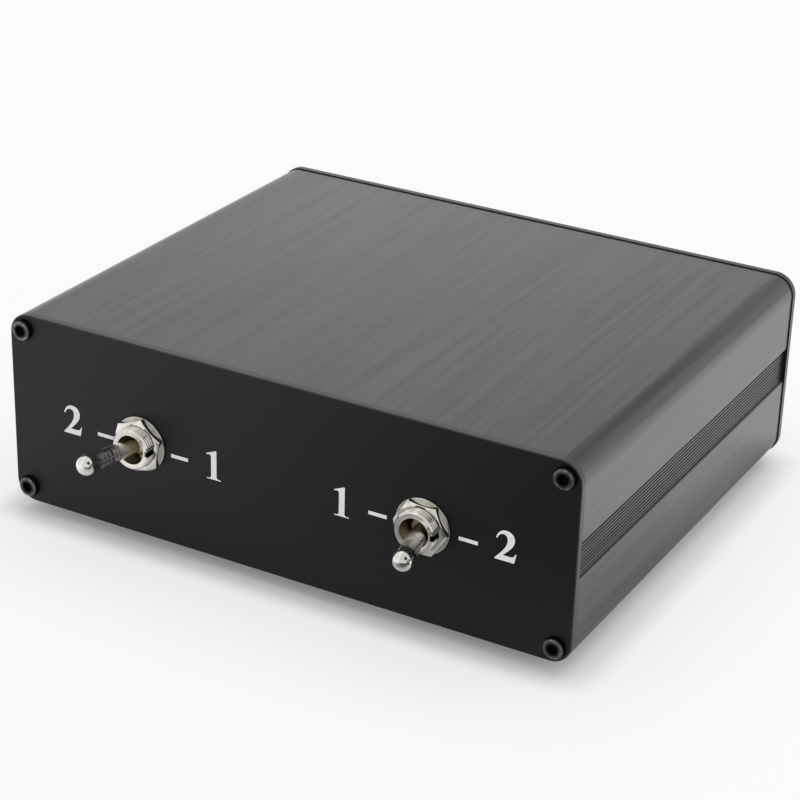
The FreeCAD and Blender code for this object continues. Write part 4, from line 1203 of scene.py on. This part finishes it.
def floor_finish(settings):
    """A pale matt floor. The camera sees the shadow beside the object and an even white further away.
    Gloss sees white as well, but with painted shade beside and behind the object and painted
    darkness to the right before it."""
    finish = Finish("floor")
    camera, glossy = rays(finish, "Camera", "Glossy")
    x, y, z = finish.parts(finish.place)
    low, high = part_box("front_plate")[0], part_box("rear_plate")[1]
    centre, half = (low.y + high.y) / 2, (high.y - low.y) / 2
    aside = finish.math("MAXIMUM", finish.math("ABSOLUTE", x) - high.x, 0.0)
    along = finish.math("MAXIMUM", finish.math("ABSOLUTE", y - centre) - half, 0.0)
    away = finish.math("SQRT", aside * aside + along * along)
    close, far = 9 * MM, 60 * MM
    shown = 0.15 + finish.between(away, 0.0, close) * 0.57 + finish.between(away, close, far) * 0.20
    # Painted shade seen only in reflections: the gloss white dims close beside and behind the object.
    clear = finish.between(away * (1 + finish.between(y, -20 * MM, 70 * MM)), 0.0, 40 * MM, smooth=False)
    before = 1 - finish.between(y, low.y - 10 * MM, low.y + 10 * MM)
    mirrored = 1 - before * (1 - finish.between(away, 0.0, far) * 0.95)
    # Painted darkness seen only in reflections, growing to the right before the object.
    dark = finish.between(x, -140 * MM, 80 * MM) * before
    sheen = (1 - (1 - clear) * (1 - before) * 0.70) * (1 - dark * 0.95)
    matt = finish.flow(0, "ShaderNodeBsdfDiffuse", {}, {"Color": (*settings.floor_colour, 1)})
    glow = finish.flow(0, "ShaderNodeEmission", {}, {
        "Color": WHITE, "Strength": camera * FLOOR_GLOW + glossy * sheen})
    mixed = finish.flow(0, "ShaderNodeMixShader", {}, {
        0: camera * shown + glossy * mirrored, 1: matt, 2: glow})
    finish.node("ShaderNodeOutputMaterial", {}, {"Surface": mixed})
    return finish.material


def make_world(context):
    """A white surround behind the object. Gloss sees it brighter on the left, duller high up behind and
    low on the far right, and nearly dark in one patch beside the camera."""
    world = bpy.data.worlds.new("studio")
    world.use_nodes = True
    context.scene.world = world
    graph = Graph(world.node_tree)
    graph.tree.nodes.clear()
    camera, glossy, through = rays(graph, "Camera", "Glossy", "Transmission")
    way = graph.flow("Generated", "ShaderNodeTexCoord")
    nearness = graph.flow("Value", "ShaderNodeVectorMath", {"operation": "DOT_PRODUCT"},
                          {0: way, 1: DARK_WAY})
    patch = graph.between(nearness, 0.94, 0.975)
    x, y, z = graph.parts(way)
    left = graph.between(x * -1, 0.1, 0.5) * 0.3 - graph.between(x * -1, 0.5, 0.64) * 0.2
    behind = graph.between(z, 0.3, 0.55) * graph.between(y, 0.3, 0.6)
    right = graph.between(x, 0.80, 0.95) * (1 - graph.between(z, 0.3, 0.5))
    sheen = (0.7 + left) * (1 - behind * 0.5) * (1 - right * 0.7) * (1 - patch * 0.95)
    seen = graph.math("MAXIMUM", camera, graph.math("MAXIMUM", glossy * sheen, through))
    plain = 1 - graph.math("MAXIMUM", camera, graph.math("MAXIMUM", glossy, through))
    surround = graph.flow(0, "ShaderNodeBackground", {}, {"Color": WHITE, "Strength": seen + plain * FILL})
    graph.node("ShaderNodeOutputWorld", {}, {"Surface": surround})


def softbox(name, place, target, width, height, power):
    """A rectangular lamp that faces a point and stays out of the gloss."""
    lamp = bpy.data.lights.new(name, "AREA")
    lamp.shape = "RECTANGLE"
    lamp.size, lamp.size_y = width, height
    lamp.energy = power
    piece = new_object(name, lamp)
    piece.location = place
    piece.rotation_euler = (Vector(target) - Vector(place)).to_track_quat("-Z", "Y").to_euler()
    piece.visible_glossy = False
    return piece


class SELECTOR_OT_stage(bpy.types.Operator):
    """Sets the floor, the surround, the lamps and the camera"""
    bl_idname = "selector.stage"
    bl_label = "Stage"

    def execute(self, context):
        settings = context.scene.stage_settings
        turns = [math.radians(degrees) for degrees in range(0, 360, 5)]
        rim = [(FLOOR_REACH * math.cos(turn), FLOOR_REACH * math.sin(turn), 0) for turn in turns]
        mesh = bpy.data.meshes.new("floor")
        mesh.from_pydata(rim, [], [list(range(len(rim)))])
        floor = new_object("floor", mesh)
        mesh.materials.append(floor_finish(settings))
        make_world(context)
        softbox("overhead", (0.1, 0.45, 1.3), (0, 0, 0), width=1.5, height=1.5, power=8.0)
        softbox("right", (1.0, 0.9, 0.40), (0, 0, 0.02), width=0.8, height=0.6, power=3.0)
        side, rise, roll = settings.camera_side, settings.camera_rise, settings.camera_roll
        back = Vector((math.sin(side) * math.cos(rise), -math.cos(side) * math.cos(rise), math.sin(rise)))
        level = Vector((math.cos(side), math.sin(side), 0))
        upright = back.cross(level)
        across = level * math.cos(roll) + upright * math.sin(roll)
        upward = upright * math.cos(roll) - level * math.sin(roll)
        lens = bpy.data.cameras.new("camera")
        lens.sensor_width = 36
        lens.lens = settings.lens
        lens.clip_start, lens.clip_end = 0.01, 20
        camera = new_object("camera", lens)
        camera.matrix_world = Matrix.Translation(settings.camera_place) @ Matrix(
            (across, upward, back)).transposed().to_4x4()
        context.scene.camera = camera
        context.scene.view_settings.view_transform = "Standard"
        return {"FINISHED"}


# ---------------------------------------------------------------- add-on

OPERATORS = (SELECTOR_OT_case, SELECTOR_OT_feet, SELECTOR_OT_screws, SELECTOR_OT_print, SELECTOR_OT_nuts,
             SELECTOR_OT_washers, SELECTOR_OT_bushes, SELECTOR_OT_levers, SELECTOR_OT_switch_insides,
             SELECTOR_OT_caps, SELECTOR_OT_studs, SELECTOR_OT_collars, SELECTOR_OT_wiring, SELECTOR_OT_stage)


class SELECTOR_PT_pieces(bpy.types.Panel):
    """Lists the pieces of the selector"""
    bl_idname = "SELECTOR_PT_pieces"
    bl_label = "Speaker selector"
    bl_space_type = "VIEW_3D"
    bl_region_type = "UI"
    bl_category = "Selector"

    def draw(self, context):
        for operator in OPERATORS:
            self.layout.operator(operator.bl_idname)
        for name in SETTINGS:
            group = getattr(context.scene, name)
            box = self.layout.box()
            for label in group.bl_rna.properties.keys():
                if label not in ("rna_type", "name"):
                    box.prop(group, label)


def register():
    for name, group in SETTINGS.items():
        bpy.utils.register_class(group)
        setattr(bpy.types.Scene, name, bpy.props.PointerProperty(type=group))
    for operator in OPERATORS:
        bpy.utils.register_class(operator)
    bpy.utils.register_class(SELECTOR_PT_pieces)


def unregister():
    bpy.utils.unregister_class(SELECTOR_PT_pieces)
    for operator in reversed(OPERATORS):
        bpy.utils.unregister_class(operator)
    for name, group in reversed(SETTINGS.items()):
        delattr(bpy.types.Scene, name)
        bpy.utils.unregister_class(group)


def main():
    register()
    for operator in OPERATORS:
        group, name = operator.bl_idname.split(".")
        getattr(getattr(bpy.ops, group), name)()


if __name__ == "__main__":
    main()
